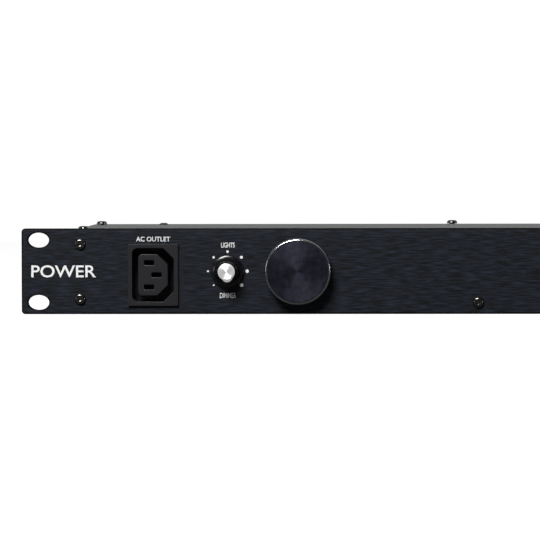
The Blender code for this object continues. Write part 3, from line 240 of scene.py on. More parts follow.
@dataclass(frozen=True)
class BrushedAnodise(Finish):
    """Black anodised aluminium, brushed along its length."""

    dark: Colour = (0.0004, 0.0008, 0.0022)
    light: Colour = (0.0118, 0.0162, 0.0275)
    grain: tuple[float, float, float] = (120.0, 3600.0, 3600.0)
    bands: tuple[float, float, float] = (125.0, 1500.0, 1500.0)
    roughness: float = 0.42
    gloss: float = 0.30

    def surface(self, graph: Graph) -> dict[str, Operand]:
        """Fine scratches that run along X, over slow changes of tone."""
        scratches = graph.noise(graph.place(self.grain), 1.0, 3.0, 0.65)
        wide = graph.noise(graph.place(self.bands), 1.0, 2.0, 0.5)
        tone = graph.ramp(scratches * 0.40 + wide * 0.60, [(0.44, 0.0), (0.60, 1.0)])
        return {
            "Base Color": graph.tint(self.dark, self.light, tone),
            "Roughness": scratches * 0.16 + (self.roughness - 0.08),
            "Normal": graph.relief(scratches, 0.00002, 0.6),
            "Specular IOR Level": self.gloss,
        }


@dataclass(frozen=True)
class TurnedMetal(Finish):
    """Metal turned on a lathe, anodised or bare; its grooves are in the mesh."""

    base: Colour = (0.020, 0.021, 0.024)
    metallic: float = 1.0
    roughness: float = 0.30
    change: float = 0.25
    patch: float = 0.0025

    def surface(self, graph: Graph) -> dict[str, Operand]:
        """Slow changes of tone and sheen."""
        cloud = graph.noise(graph.place(), 1.0 / self.patch, 3.0)
        darker = tuple(c * (1.0 - self.change) for c in self.base)
        lighter = tuple(min(1.0, c * (1.0 + self.change)) for c in self.base)
        return {
            "Base Color": graph.tint(darker, lighter, cloud),
            "Metallic": self.metallic,
            "Roughness": cloud * 0.12 + (self.roughness - 0.06),
        }


@dataclass(frozen=True)
class PowderCoat(Finish):
    """Sprayed and baked coat with a fine orange-peel texture."""

    base: Colour = (0.030, 0.031, 0.034)
    roughness: float = 0.50
    pitch: float = 0.0007

    def surface(self, graph: Graph) -> dict[str, Operand]:
        """Grains in the relief, and a faint change of tone."""
        grains = graph.noise(graph.place(), 1.0 / self.pitch, 2.0)
        cloud = graph.noise(graph.place(), 30.0, 2.0)
        dark = tuple(c * 0.8 for c in self.base)
        light = tuple(c * 1.2 for c in self.base)
        return {
            "Base Color": graph.tint(dark, light, cloud * 0.6 + grains * 0.4),
            "Roughness": grains * 0.14 + (self.roughness - 0.07),
            "Normal": graph.relief(grains, 0.00008, 0.5),
        }


@dataclass(frozen=True)
class Moulding(Finish):
    """Moulded plastic with a spark-eroded skin."""

    base: Colour = (0.038, 0.038, 0.043)
    roughness: float = 0.50
    pitch: float = 0.00035
    depth: float = 0.00003
    gloss: float = 0.5
    glow: float = 0.0

    def surface(self, graph: Graph) -> dict[str, Operand]:
        """A fine even skin, with a faint change of tone."""
        skin = graph.noise(graph.place(), 1.0 / self.pitch, 2.0)
        cloud = graph.noise(graph.place(), 90.0, 2.0)
        dark = tuple(c * 0.86 for c in self.base)
        light = tuple(min(1.0, c * 1.14) for c in self.base)
        fed: dict[str, Operand] = {
            "Base Color": graph.tint(dark, light, cloud),
            "Roughness": skin * 0.16 + (self.roughness - 0.08),
            "Normal": graph.relief(skin, self.depth, 0.4),
            "Specular IOR Level": self.gloss,
        }
        if self.glow:
            fed["Emission Color"] = graph.tint(dark, light, cloud)
            fed["Emission Strength"] = self.glow
        return fed


@dataclass(frozen=True)
class PlatedMetal(Finish):
    """Bare or plated metal with fine handling marks."""

    base: Colour = (0.60, 0.60, 0.62)
    roughness: float = 0.28

    def surface(self, graph: Graph) -> dict[str, Operand]:
        """Cloudy tone and fine scuffs."""
        cloud = graph.noise(graph.place(), 260.0, 3.0)
        scuffs = graph.noise(graph.place((3000.0, 700.0, 3000.0)), 1.0, 2.0)
        dark = tuple(c * 0.82 for c in self.base)
        return {
            "Base Color": graph.tint(dark, self.base, cloud),
            "Metallic": 1.0,
            "Roughness": scuffs * 0.18 + (self.roughness - 0.09),
            "Normal": graph.relief(scuffs, 0.00001, 0.4),
        }


@dataclass(frozen=True)
class CircuitBoard(Finish):
    """Solder mask over copper tracks."""

    mask: Colour = (0.012, 0.090, 0.035)
    track: Colour = (0.030, 0.170, 0.060)
    pitch: float = 0.0022

    def surface(self, graph: Graph) -> dict[str, Operand]:
        """Straight-edged lighter cells, as tracks under the mask."""
        inputs = {"Vector": graph.place(), "Scale": 1.0 / self.pitch}
        settings = {"distance": "CHEBYCHEV", "feature": "F1"}
        cells = graph.signal("ShaderNodeTexVoronoi", settings, inputs, "Distance")
        tracks = graph.ramp(cells, [(0.36, 0.0), (0.42, 1.0)])
        return {
            "Base Color": graph.tint(self.mask, self.track, tracks),
            "Roughness": 0.34,
            "Normal": graph.relief(tracks, 0.00003, 0.6),
        }


@dataclass(frozen=True)
class Ink(Finish):
    """Screen-printed ink."""

    base: Colour = (0.86, 0.86, 0.85)

    def surface(self, graph: Graph) -> dict[str, Operand]:
        """Slightly uneven cover."""
        cover = graph.noise(graph.place(), 1800.0, 2.0)
        thin = tuple(c * 0.90 for c in self.base)
        return {"Base Color": graph.tint(thin, self.base, cover), "Roughness": 0.55}


@dataclass(frozen=True)
class StudioFloor(Finish):
    """A pale floor that looks evenly bright, and throws little light back."""

    glow: float = 0.84
    shown: float = 0.28
    thrown: float = 0.10

    def surface(self, graph: Graph) -> dict[str, Operand]:
        """Bright where it is looked at, dark where it lights other things."""
        seen = graph.signal("ShaderNodeLightPath", output="Is Camera Ray")
        low = (self.thrown,) * 3
        high = (self.shown,) * 3
        return {
            "Base Color": graph.tint(low, high, seen),
            "Roughness": 0.9,
            "Specular IOR Level": 0.0,
            "Emission Color": graph.tint((0.0, 0.0, 0.0), (self.glow,) * 3, seen),
            "Emission Strength": 1.0,
        }


FLOOR = StudioFloor("floor")
PANEL = BrushedAnodise("panel_black")
# Panel edges: black like the face but darker and almost without sheen, as painted shade for the dark line
# around the panel.
PANEL_EDGE_PAINTED_SHADE = Moulding("panel_edge_painted_shade", base=(0.0012, 0.0013, 0.0018), roughness=0.60, gloss=0.08)
CAP = TurnedMetal("cap_black", base=(0.030, 0.031, 0.045), roughness=0.38, change=0.60, patch=0.0032)
CAP_EDGE = TurnedMetal("cap_edge", base=(0.420, 0.425, 0.440), roughness=0.17)
TUBE = TurnedMetal("tube_black", base=(0.030, 0.031, 0.034), roughness=0.32)
SPUN = TurnedMetal("spun_aluminium", base=(0.88, 0.87, 0.87), metallic=0.62, roughness=0.38, change=0.04)
COAT = PowderCoat("case_grey")
SCREW = PlatedMetal("screw_black", base=(0.170, 0.166, 0.160), roughness=0.17)
OUTLET = Moulding("outlet_plastic", base=(0.0115, 0.0115, 0.0135), roughness=0.40, gloss=0.34)
# Outlet contacts: bronze darkened far below its own colour, as painted shade for the shade deep in the
# outlet's slots.
CONTACT_PAINTED_SHADE = PlatedMetal("contact_bronze_painted_shade", base=(0.070, 0.045, 0.022), roughness=0.45)
KNOB = Moulding("knob_plastic", base=(0.0022, 0.0022, 0.0026), roughness=0.22, gloss=0.60)
NYLON = Moulding("nylon_black", base=(0.018, 0.018, 0.019), roughness=0.55)
ROCKER = Moulding("rocker_red", base=(0.420, 0.016, 0.012), roughness=0.24, glow=0.10)
BUTTON = Moulding("button_white", base=(0.740, 0.735, 0.700), roughness=0.34)
INDICATOR = Moulding("indicator_green", base=(0.030, 0.420, 0.090), roughness=0.16, glow=0.40)
LENS = Moulding("lens_frosted", base=(0.780, 0.795, 0.820), roughness=0.42, glow=0.06)
LIT = Moulding("led_yellow", base=(0.900, 0.760, 0.240), roughness=0.35, glow=0.20)
BRASS = PlatedMetal("brass", base=(0.780, 0.560, 0.260))
STEEL = PlatedMetal("steel")
COPPER = PlatedMetal("copper", base=(0.700, 0.330, 0.170), roughness=0.30)
BOARD = CircuitBoard("board_green")
CAPACITOR = Moulding("capacitor_yellow", base=(0.700, 0.500, 0.040), roughness=0.35)
VARISTOR = Moulding("varistor_blue", base=(0.030, 0.100, 0.400), roughness=0.30)
BROWN = Moulding("lead_brown", base=(0.160, 0.070, 0.030), roughness=0.45)
BLUE = Moulding("lead_blue", base=(0.030, 0.110, 0.420), roughness=0.45)
GREEN = Moulding("lead_green", base=(0.160, 0.420, 0.050), roughness=0.45)
INK = Ink("ink_white")


# Outlines and meshes


@dataclass(frozen=True)
class Box:
    """A CAD node's box at rest."""

    low: Vector
    high: Vector

    @classmethod
    def of(cls, node: str) -> "Box":
        """The box of a node."""
        low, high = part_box(node)
        return cls(Vector(low), Vector(high))

    @property
    def centre(self) -> Vector:
        """The box's middle."""
        return (self.low + self.high) / 2

    @property
    def size(self) -> Vector:
        """The box's width, depth and height."""
        return self.high - self.low

    def front(self) -> Vector:
        """The middle of the box's front face."""
        return Vector((self.centre.x, self.low.y, self.centre.z))


def arc(centre: Point, radius: float, start: float, end: float, steps: int) -> Loop:
    """Points along an arc, both ends included."""
    turns = [math.radians(start + (end - start) * n / steps) for n in range(steps + 1)]
    return [(centre[0] + radius * math.cos(t), centre[1] + radius * math.sin(t)) for t in turns]


def rectangle(width: float, height: float, radius: float, steps: int = 6) -> Outline:
    """A rectangle with round corners.

    Args:
        width: Its width.
        height: Its height.
        radius: Its corners' radius.
        steps: Chords in each corner.

    Returns:
        Its outline, as a function of how far it is grown.
    """

    def loop(grow: float) -> Loop:
        """The outline, grown."""
        r = max(radius + grow, 1e-6)
        u = width / 2 + grow - r
        v = height / 2 + grow - r
        corners = ((u, v, 0), (-u, v, 90), (-u, -v, 180), (u, -v, 270))
        return [point for cu, cv, turn in corners for point in arc((cu, cv), r, turn, turn + 90, steps)]

    return loop


def oval(length: float, width: float, steps: int = 48) -> Outline:
    """An ellipse whose long axis is along X."""

    def loop(grow: float) -> Loop:
        """The points at one growth."""
        turns = [math.tau * n / steps for n in range(steps)]
        return [((length / 2 + grow) * math.cos(t), (width / 2 + grow) * math.sin(t)) for t in turns]

    return loop


def circle(radius: float, steps: int = 48) -> Outline:
    """A circle."""
    return lambda grow: arc((0, 0), radius + grow, 0, 360, steps)[:-1]


def socket(width: float, height: float, radius: float, chamfer: float, steps: int = 8) -> Outline:
    """The mains socket's outline: round corners at the left, cut corners at the right.

    Args:
        width: Its width.
        height: Its height.
        radius: The round corners' radius.
        chamfer: How much of each side the cut corners take.
        steps: Chords in each round corner.

    Returns:
        Its outline, as a function of how far it is grown.
    """
    slant = math.tan(math.pi / 8)
    blend = 0.0006

    def loop(grow: float) -> Loop:
        """The outline, grown."""
        u = width / 2 + grow
        v = height / 2 + grow
        cut = chamfer + grow * (1 - slant)
        b = blend
        right: Loop = []
        for (cu, cv), before, after in (
            ((u - cut, -v), (-1, 0), (0.7, 0.7)),
            ((u, -v + cut), (-0.7, -0.7), (0, 1)),
            ((u, v - cut), (0, -1), (-0.7, 0.7)),
            ((u - cut, v), (0.7, -0.7), (-1, 0)),
        ):
            first = (cu + before[0] * b, cv + before[1] * b)
            last = (cu + after[0] * b, cv + after[1] * b)
            middle = (
                0.25 * first[0] + 0.5 * cu + 0.25 * last[0],
                0.25 * first[1] + 0.5 * cv + 0.25 * last[1],
            )
            right += [first, middle, last]
        r = max(radius + grow, 1e-6)
        upper = arc((-u + r, v - r), r, 90, 180, steps)
        lower = arc((-u + r, -v + r), r, 180, 270, steps)
        return right + upper + lower

    return loop


def moved(outline: Outline, across: float, up: float) -> Outline:
    """An outline, moved."""
    return lambda grow: [(u + across, v + up) for u, v in outline(grow)]


def round_ring(radius: float, y: float, sides: int) -> Ring:
    """A circle of points around the Y axis."""
    turns = [math.tau * n / sides for n in range(sides)]
    return [Vector((radius * math.cos(t), y, radius * math.sin(t))) for t in turns]


class Body:
    """A mesh that is being built, with its shapes along Y."""

    def __init__(self) -> None:
        """Starts empty."""
        self.bm = bmesh.new()

    def plate(
        self,
        outline: Outline,
        holes: Sequence[Outline],
        front: float,
        back: float,
        edge: float,
        steps: int = 3,
        edge_slot: int = 0,
    ) -> None:
        """Adds a flat shape whose front edges are rounded.

        Args:
            outline: Its outer outline.
            holes: The outlines of its holes.
            front: The front face's Y.
            back: The back face's Y.
            edge: The radius of the front edges.
            steps: Chords in each rounded edge; 1 makes a chamfer.
            edge_slot: The material slot of its edges and sides; its front and back are in slot 0.
        """
        levels = []
        for n in range(steps + 1):
            turn = math.pi / 2 * n / steps
            levels.append((front + edge * (1 - math.cos(turn)), edge * (1 - math.sin(turn))))
        levels.append((back, 0.0))
        first: list[bmesh.types.BMEdge] = []
        last: list[bmesh.types.BMEdge] = []
        sides: list[bmesh.types.BMFace] = []
        for shape, sign in ((outline, -1), *((hole, 1) for hole in holes)):
            rings = []
            for y, inset in levels:
                rings.append([self.bm.verts.new((u, y, v)) for u, v in shape(sign * inset)])
            for near, far in zip(rings, rings[1:]):
                sides += self._strip(near, far)
            first += self._loop_edges(rings[0])
            last += self._loop_edges(rings[-1])
        for face in sides:
            face.material_index = edge_slot
        flats: list[bmesh.types.BMFace] = []
        for edges in (first, last):
            filled = bmesh.ops.triangle_fill(self.bm, use_beauty=True, use_dissolve=False, edges=edges)
            flats += [item for item in filled["geom"] if isinstance(item, bmesh.types.BMFace)]
        bmesh.ops.recalc_face_normals(self.bm, faces=sides + flats)

    def _loop_edges(self, ring: Sequence[bmesh.types.BMVert]) -> list[bmesh.types.BMEdge]:
        """The edges of a closed ring of vertices."""
        pairs = zip(ring, [*ring[1:], ring[0]])
        return [self.bm.edges.get(pair) or self.bm.edges.new(pair) for pair in pairs]

    def _strip(
        self, near: Sequence[bmesh.types.BMVert], far: Sequence[bmesh.types.BMVert]
    ) -> list[bmesh.types.BMFace]:
        """Faces between two rings of as many vertices."""
        count = len(near)
        return [
            self.bm.faces.new((near[n], near[(n + 1) % count], far[(n + 1) % count], far[n]))
            for n in range(count)
        ]

    def loft(
        self, rings: Sequence[Ring], slots: Sequence[int] | None = None, closed: bool = False
    ) -> list[bmesh.types.BMVert]:
        """Adds a skin over rings of points.

        Args:
            rings: The rings, each with as many points.
            slots: The material slot of each strip between two rings.
            closed: Whether the last ring joins the first, as in a tube. If not, both ends are capped.

        Returns:
            Its vertices.
        """
        made = [[self.bm.verts.new(p) for p in ring] for ring in rings]
        faces = []
        pairs = list(zip(made, made[1:] + (made[:1] if closed else [])))
        for number, (near, far) in enumerate(pairs):
            strip = self._strip(near, far)
            for face in strip:
                face.material_index = slots[number] if slots else 0
            faces += strip
        if not closed:
            for ring, number in ((made[0], 0), (made[-1], -1)):
                cap = self.bm.faces.new(ring)
                cap.material_index = slots[number] if slots else 0
                faces.append(cap)
        bmesh.ops.recalc_face_normals(self.bm, faces=faces)
        return [vert for ring in made for vert in ring]

    def lathe(
        self,
        profile: Sequence[Point],
        steps: int = 64,
        slots: Sequence[int] | None = None,
        closed: bool = False,
    ) -> list[bmesh.types.BMVert]:
        """Adds a turned shape."""
        return self.loft([round_ring(r, y, steps) for r, y in profile], slots, closed)

    def block(self, low: Sequence[float], high: Sequence[float], bevel: float, slot_number: int) -> None:
        """Adds a box with rounded edges.

        Args:
            low: Its lowest corner.
            high: Its highest corner.
            bevel: Its edges' radius.
            slot_number: The material slot of its faces.
        """
        size = [h - l for l, h in zip(low, high)]
        middle = [(l + h) / 2 for l, h in zip(low, high)]
        matrix = Matrix.Translation(middle) @ Matrix.Diagonal((*size, 1.0))
        made = bmesh.ops.create_cube(self.bm, size=1.0, matrix=matrix)
        edges = list(dict.fromkeys(edge for vert in made["verts"] for edge in vert.link_edges))
        rounded = bmesh.ops.bevel(self.bm, geom=edges, offset=bevel, segments=2, profile=0.5, affect="EDGES")
        verts = {vert for face in rounded["faces"] for vert in face.verts}
        for face in {face for vert in verts for face in vert.link_faces}:
            face.material_index = slot_number

    def turn(self, angle: float, axis: str) -> None:
        """Turns all that is built so far about its origin."""
        bmesh.ops.rotate(self.bm, verts=self.bm.verts, matrix=Matrix.Rotation(angle, 3, axis))

    def mesh(self, name: str, finishes: Sequence[Finish], sharp: float = 40.0) -> bpy.types.Mesh:
        """Turns it into a mesh, shaded smooth but for its sharp edges.

        Args:
            name: The mesh's name.
            finishes: Its material slots.
            sharp: The angle that makes an edge sharp, in degrees.

        Returns:
            The mesh.
        """
        made = bpy.data.meshes.new(name)
        self.bm.to_mesh(made)
        self.bm.free()
        for finish in finishes:
            made.materials.append(finish.material())
        made.shade_smooth()
        made.set_sharp_from_angle(angle=math.radians(sharp))
        return made


def put(
    name: str,
    mesh: bpy.types.Mesh,
    at: Sequence[float],
    body: str = "chassis",
    stands_for: Sequence[str] = (),
    turn: Sequence[float] = (0.0, 0.0, 0.0),
    even: bool = True,
) -> bpy.types.Object:
    """Places a piece, ties it to its body and hides the CAD nodes that it replaces.

    Args:
        name: The piece's name.
        mesh: Its mesh, which other pieces may share.
        at: Where its origin goes.
        body: The CAD body that it moves with.
        stands_for: The CAD nodes that it replaces.
        turn: Its rotation.
        even: Whether large flat faces keep flat shading up to their rounded edges.

    Returns:
        The piece.
    """
    made = bpy.data.objects.new(name, mesh)
    made.location = at
    made.rotation_euler = turn
    bpy.context.scene.collection.objects.link(made)
    if even:
        keep = made.modifiers.new("even_shading", "WEIGHTED_NORMAL")
        keep.keep_sharp = True
    bpy.context.view_layer.update()
    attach(made, body)
    if stands_for:
        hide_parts(*stands_for)
    LOG.info("%s rides on %s", name, body)
    return made


# Sub-assemblies


@dataclass
class FrontPanel:
    """The brushed front plate, with its slots and holes."""

    corner: float = 0.0018
    edge: float = 0.0007
    slot_length: float = 0.0106
    slot_width: float = 0.0076
    slot_inset: float = 0.00875
    slot_rise: float = 0.03175 / 2
    gap: float = 0.0002
    lip: float = 0.0010
    dimmer_hole: float = 0.0041
    breaker_hole: float = 0.0050
    indicator_hole: float = 0.0028
    screw_hole: float = 0.0018

    def build(self) -> None:
        """Builds the plate in place of the CAD one."""
        box = Box.of("front_panel")
        outer = rectangle(box.size.x, box.size.z, self.corner, 8)
        body = Body()
        # Its edges and sides get the near-black edge finish, which is painted shade.
        body.plate(outer, self.holes(box), 0.0, box.size.y, self.edge, edge_slot=1)
        mesh = body.mesh("panel_plate", [PANEL, PANEL_EDGE_PAINTED_SHADE])
        put("panel_plate", mesh, box.front(), "chassis", ["front_panel"])

    def holes(self, box: Box) -> list[Outline]:
        """Every hole's outline, about the panel's middle.

        Args:
            box: The panel's box.

        Returns:
            The outlines.
        """
        found: list[Outline] = []
        for side in (-1, 1):
            for end in (-1, 1):
                across = side * (box.size.x / 2 - self.slot_inset)
                found.append(moved(oval(self.slot_length, self.slot_width), across, end * self.slot_rise))
        for node in ("left_lamp_tube", "right_lamp_tube"):
            found.append(self.round_hole(box, node, Box.of(node).size.x / 2 + 2 * self.gap))
        found.append(self.round_hole(box, "dimmer_potentiometer", self.dimmer_hole))
        found.append(self.round_hole(box, "breaker_body", self.breaker_hole))
        found.append(self.round_hole(box, "indicator_lens", self.indicator_hole))
        for node in ("front_outlet", "power_switch_housing"):
            other = Box.of(node)
            width = other.size.x - 2 * self.lip + 2 * self.gap
            height = other.size.z - 2 * self.lip + 2 * self.gap
            offset = other.centre - box.centre
            found.append(moved(rectangle(width, height, 0.0006), offset.x, offset.z))
        for node in PANEL_SCREWS:
            found.append(self.round_hole(box, node, self.screw_hole))
        return found

    @staticmethod
    def round_hole(box: Box, node: str, radius: float) -> Outline:
        """A round hole on a node's axis."""
        offset = Box.of(node).centre - box.centre
        return moved(circle(radius), offset.x, offset.z)


PANEL_SCREWS = (
    "panel_screw_upper_left",
    "panel_screw_lower_left",
    "panel_screw_upper_right",
    "panel_screw_lower_right",
    "panel_screw_centre",
)
COVER_SCREWS = (
    "cover_screw_front_left",
    "cover_screw_rear_left",
    "cover_screw_front_right",
    "cover_screw_rear_right",
    "cover_screw_centre",
)


@dataclass
class ButtonScrew:
    """A button head screw with a hexagon socket."""

    socket_flats: float = 0.0020
    socket_depth: float = 0.0011
    shank: float = 0.0015
    sides: int = 36

    def build(self, nodes: Sequence[str], upright: bool) -> None:
        """Builds one screw and places it at each of the nodes.

        Args:
            nodes: The CAD screws that it stands for.
            upright: Whether their heads face up, and not to the front.
        """
        size = Box.of(nodes[0]).size
        radius = size.x / 2
        length = size.z if upright else size.y
        mesh = self.mesh(radius, length, 0.63 * radius)
        for node in nodes:
            box = Box.of(node)
            if upright:
                at = Vector((box.centre.x, box.centre.y, box.high.z))
                turn = (-math.pi / 2, 0.0, 0.0)
            else:
                at = box.front()
                turn = (0.0, 0.0, 0.0)
            put(f"{node}_piece", mesh, at, "chassis", [node], turn, even=False)

    def mesh(self, radius: float, length: float, head: float) -> bpy.types.Mesh:
        """Builds the screw, with its head's top at Y 0 and its shank along +Y.

        Args:
            radius: The head's radius.
            length: The whole screw's length.
            head: The head's height.

        Returns:
            The mesh.
        """
        flat = self.socket_flats / 2
        mouth = flat * 1.22
        rings = [self.ring(BORE, self.socket_depth * 1.15), self.hexagon(flat, self.socket_depth)]
        rings += [self.hexagon(flat, 0.00012), self.ring(mouth, 0.0)]
        crown = 0.56 * radius
        steps = 7
        for n in range(steps + 1):
            turn = math.pi / 2 * n / steps
            across = crown + (radius - crown) * math.sin(turn)
            down = (head * 0.80) * (1 - math.cos(turn))
            rings.append(self.ring(across, down))
        rings += [self.ring(radius, head * 0.93), self.ring(radius * 0.96, head)]
        rings += [self.ring(self.shank, head), self.ring(self.shank, length), self.ring(BORE, length)]
        body = Body()
        body.loft(rings)
        return body.mesh("button_screw", [SCREW], 32.0)

    def ring(self, radius: float, y: float) -> Ring:
        """A circle of points."""
        return round_ring(radius, y, self.sides)

    def hexagon(self, flat: float, y: float) -> Ring:
        """A hexagon of as many points, from half its width across the flats."""
        sixth = math.tau / 6
        turns = [math.tau * n / self.sides for n in range(self.sides)]
        radii = [flat / math.cos((t % sixth) - sixth / 2) for t in turns]
        return [Vector((r * math.cos(t), y, r * math.sin(t))) for r, t in zip(radii, turns)]


@dataclass
class MainsOutlet:
    """The outlet in the panel: flange, deep recess, and the core with three slots."""

    rim: float = 0.0022
    lip: float = 0.0010
    flange: float = 0.0016
    groove: float = 0.0030
    lead_in: float = 0.0004
    corner: float = 0.0028
    chamfer: float = 0.0054
    depth: float = 0.0170
    slot_width: float = 0.0050
    slot_height: float = 0.0023

    def build(self) -> None:
        """Builds the moulding in place of the CAD one."""
        box = Box.of("front_outlet")
        centre = box.centre
        width = box.size.x - 2 * self.rim
        height = box.size.z - 2 * self.rim
        recess = socket(width, height, self.corner, self.chamfer)
        core = socket(width - 2 * self.groove, height - 2 * self.groove, self.corner * 0.8, self.chamfer)
        slots = []
        for name in ("live", "neutral", "earth"):
            offset = Box.of(f"outlet_contact_{name}").centre - centre
            slots.append(moved(rectangle(self.slot_width, self.slot_height, 0.0002, 3), offset.x, offset.z))
        rear = box.size.y
        body = Body()
        outer = rectangle(box.size.x, box.size.z, 0.0005)
        inner = rectangle(box.size.x - 2 * self.lip, box.size.z - 2 * self.lip, 0.0005)
        body.plate(outer, [recess], 0.0, self.flange, 0.00022)
        body.plate(inner, [recess], self.flange, rear, CRISP, 1)
        body.plate(recess, slots, self.depth, rear - 0.0002, CRISP, 1)
        body.plate(core, slots, self.flange * 0.2, self.depth, self.lead_in, 4)
        mesh = body.mesh("outlet_moulding", [OUTLET])
        put("outlet_moulding", mesh, box.front(), "chassis", ["front_outlet"])


@dataclass
class DimmerKnob:
    """The fluted knob with its spun inlay."""

    flutes: int = 30
    flute_depth: float = 0.00034
    skirt_radius: float = 0.00825
    waist_radius: float = 0.0064
    top_radius: float = 0.0053
    skirt_height: float = 0.0015
    points_per_flute: int = 6
    groove_pitch: float = 0.00022
    groove_depth: float = 0.000045
    inlay_radius: float = 0.00435
    pointer_half: float = 0.0026
    pointer_reach: float = 0.0053
    pointer_turn: float = math.radians(171.0)

    def build(self) -> None:
        """Builds the knob and its inlay in place of the CAD ones."""
        knob = Box.of("dimmer_knob")
        height = knob.size.y
        rings = [self.ring(r, y) for r, y in self.underside(height)]
        rings += [self.ring(r, height - y) for r, y in self.skirt()]
        rings += self.fluted_rings(height)
        rings += [self.ring(self.inlay_radius + 0.0003, 0.0), self.ring(self.inlay_radius, 0.0004)]
        body = Body()
        body.loft(rings)
        mesh = body.mesh("dimmer_knob", [KNOB], 50.0)
        put("dimmer_knob_piece", mesh, knob.front(), "dimmer", ["dimmer_knob"], even=False)
        inlay = Box.of("dimmer_inlay")
        at = Vector((knob.centre.x, inlay.low.y, knob.centre.z))
        mesh = self.inlay_mesh(inlay.size.y)
        put("dimmer_inlay_piece", mesh, at, "dimmer", ["dimmer_inlay"], even=False)

    @property
    def sides(self) -> int:
        """Points around each ring of the knob."""
        return self.flutes * self.points_per_flute

    def ring(self, radius: float, y: float) -> Ring:
        """A circle of points."""
        return round_ring(radius, y, self.sides)

    def underside(self, height: float) -> list[Point]:
        """The hollow under the skirt, from the shaft's bore to the rim."""
        bore = 0.0033
        inside = 0.00685
        return [(bore, height * 0.2), (bore, height - 0.0050), (inside, height - 0.0022), (inside, height)]

    def skirt(self) -> list[Point]:
        """The skirt's profile, from its foot up, as radius and height."""
        lip = 0.0003
        radius = self.skirt_radius
        points = [(radius - lip, 0.0), (radius, lip), (radius, self.skirt_height - lip)]
        steps = 4
        for n in range(1, steps + 1):
            turn = math.pi / 2 * n / steps
            across = radius - lip * 2 * (1 - math.cos(turn))
            points.append((across, self.skirt_height - lip + lip * 2 * math.sin(turn)))
        points.append((self.waist_radius + 0.0003, self.skirt_height + 0.0009))
        return points

    def fluted_rings(self, height: float) -> list[Ring]:
        """The grip's rings, from its waist to its rounded top."""
        start = self.skirt_height + 0.0011
        levels = [(0.0, 0.0), (0.03, 0.7), (0.08, 1.0), (0.35, 1.0), (0.65, 1.0)]
        levels += [(0.90, 1.0), (0.96, 0.6), (1.0, 0.0)]
        rings = []
        for share, depth in levels:
            radius = self.waist_radius + (self.top_radius - self.waist_radius) * share
            if share > 0.9:
                radius -= 0.0005 * (share - 0.9) / 0.1
            rings.append(self.fluted_ring(radius, height - start - (height - start) * share, depth))
        return rings

    def fluted_ring(self, radius: float, y: float, depth: float) -> Ring:
        """A ring whose radius dips between the flutes.

        Args:
            radius: The ridges' radius.
            y: Its place along the axis.
            depth: The share of the full flute depth.

        Returns:
            The ring.
        """
        ring = []
        for n in range(self.sides):
            turn = math.tau * n / self.sides
            dip = 1.0 - abs(math.cos(turn * self.flutes / 2)) ** 1.5
            r = radius - self.flute_depth * depth * dip
            ring.append(Vector((r * math.cos(turn), y, r * math.sin(turn))))
        return ring

    def rim(self, turn: float, grow: float) -> float:
        """The inlay's radius at an angle, with the pointer's lobe.

        Args:
            turn: The angle, from the right, anticlockwise seen from the front.
            grow: How far it is grown.

        Returns:
            The radius.
        """
        away = (turn - (math.pi / 2 - self.pointer_turn) + math.pi) % math.tau - math.pi
        radius = self.inlay_radius
        half = self.pointer_half
        if abs(away) < math.pi / 3:
            reach = self.pointer_reach - half
            inside = half**2 - (reach * math.sin(away)) ** 2
            if inside > 0:
                radius = max(radius, reach * math.cos(away) + math.sqrt(inside))
        return radius + grow

    def inlay_mesh(self, thickness: float) -> bpy.types.Mesh:
        """Builds the inlay: turned grooves, a rounded edge and the pointer's lobe.

        Args:
            thickness: How thick it is.

        Returns:
            The mesh.
        """
        sides = 120
        turns = [math.tau * n / sides for n in range(sides)]
        rings: list[Ring] = []

        def add(radius_at: Callable[[float], float], y: float) -> None:
            """Adds one ring."""
            rings.append([Vector((radius_at(t) * math.cos(t), y, radius_at(t) * math.sin(t))) for t in turns])

        count = int((self.inlay_radius - 0.0007) / (self.groove_pitch / 2))
        for n in range(1, count + 1):
            radius = n * self.groove_pitch / 2
            add(lambda _, r=radius: r, self.groove_depth * (n % 2))
        add(lambda t: self.rim(t, -0.00025), 0.0)
        add(lambda t: self.rim(t, -0.00008), 0.00006)
        add(lambda t: self.rim(t, 0.0), 0.00022)
        add(lambda t: self.rim(t, 0.0), thickness)
        body = Body()
        body.loft(rings)
        return body.mesh("dimmer_inlay", [SPUN], 30.0)


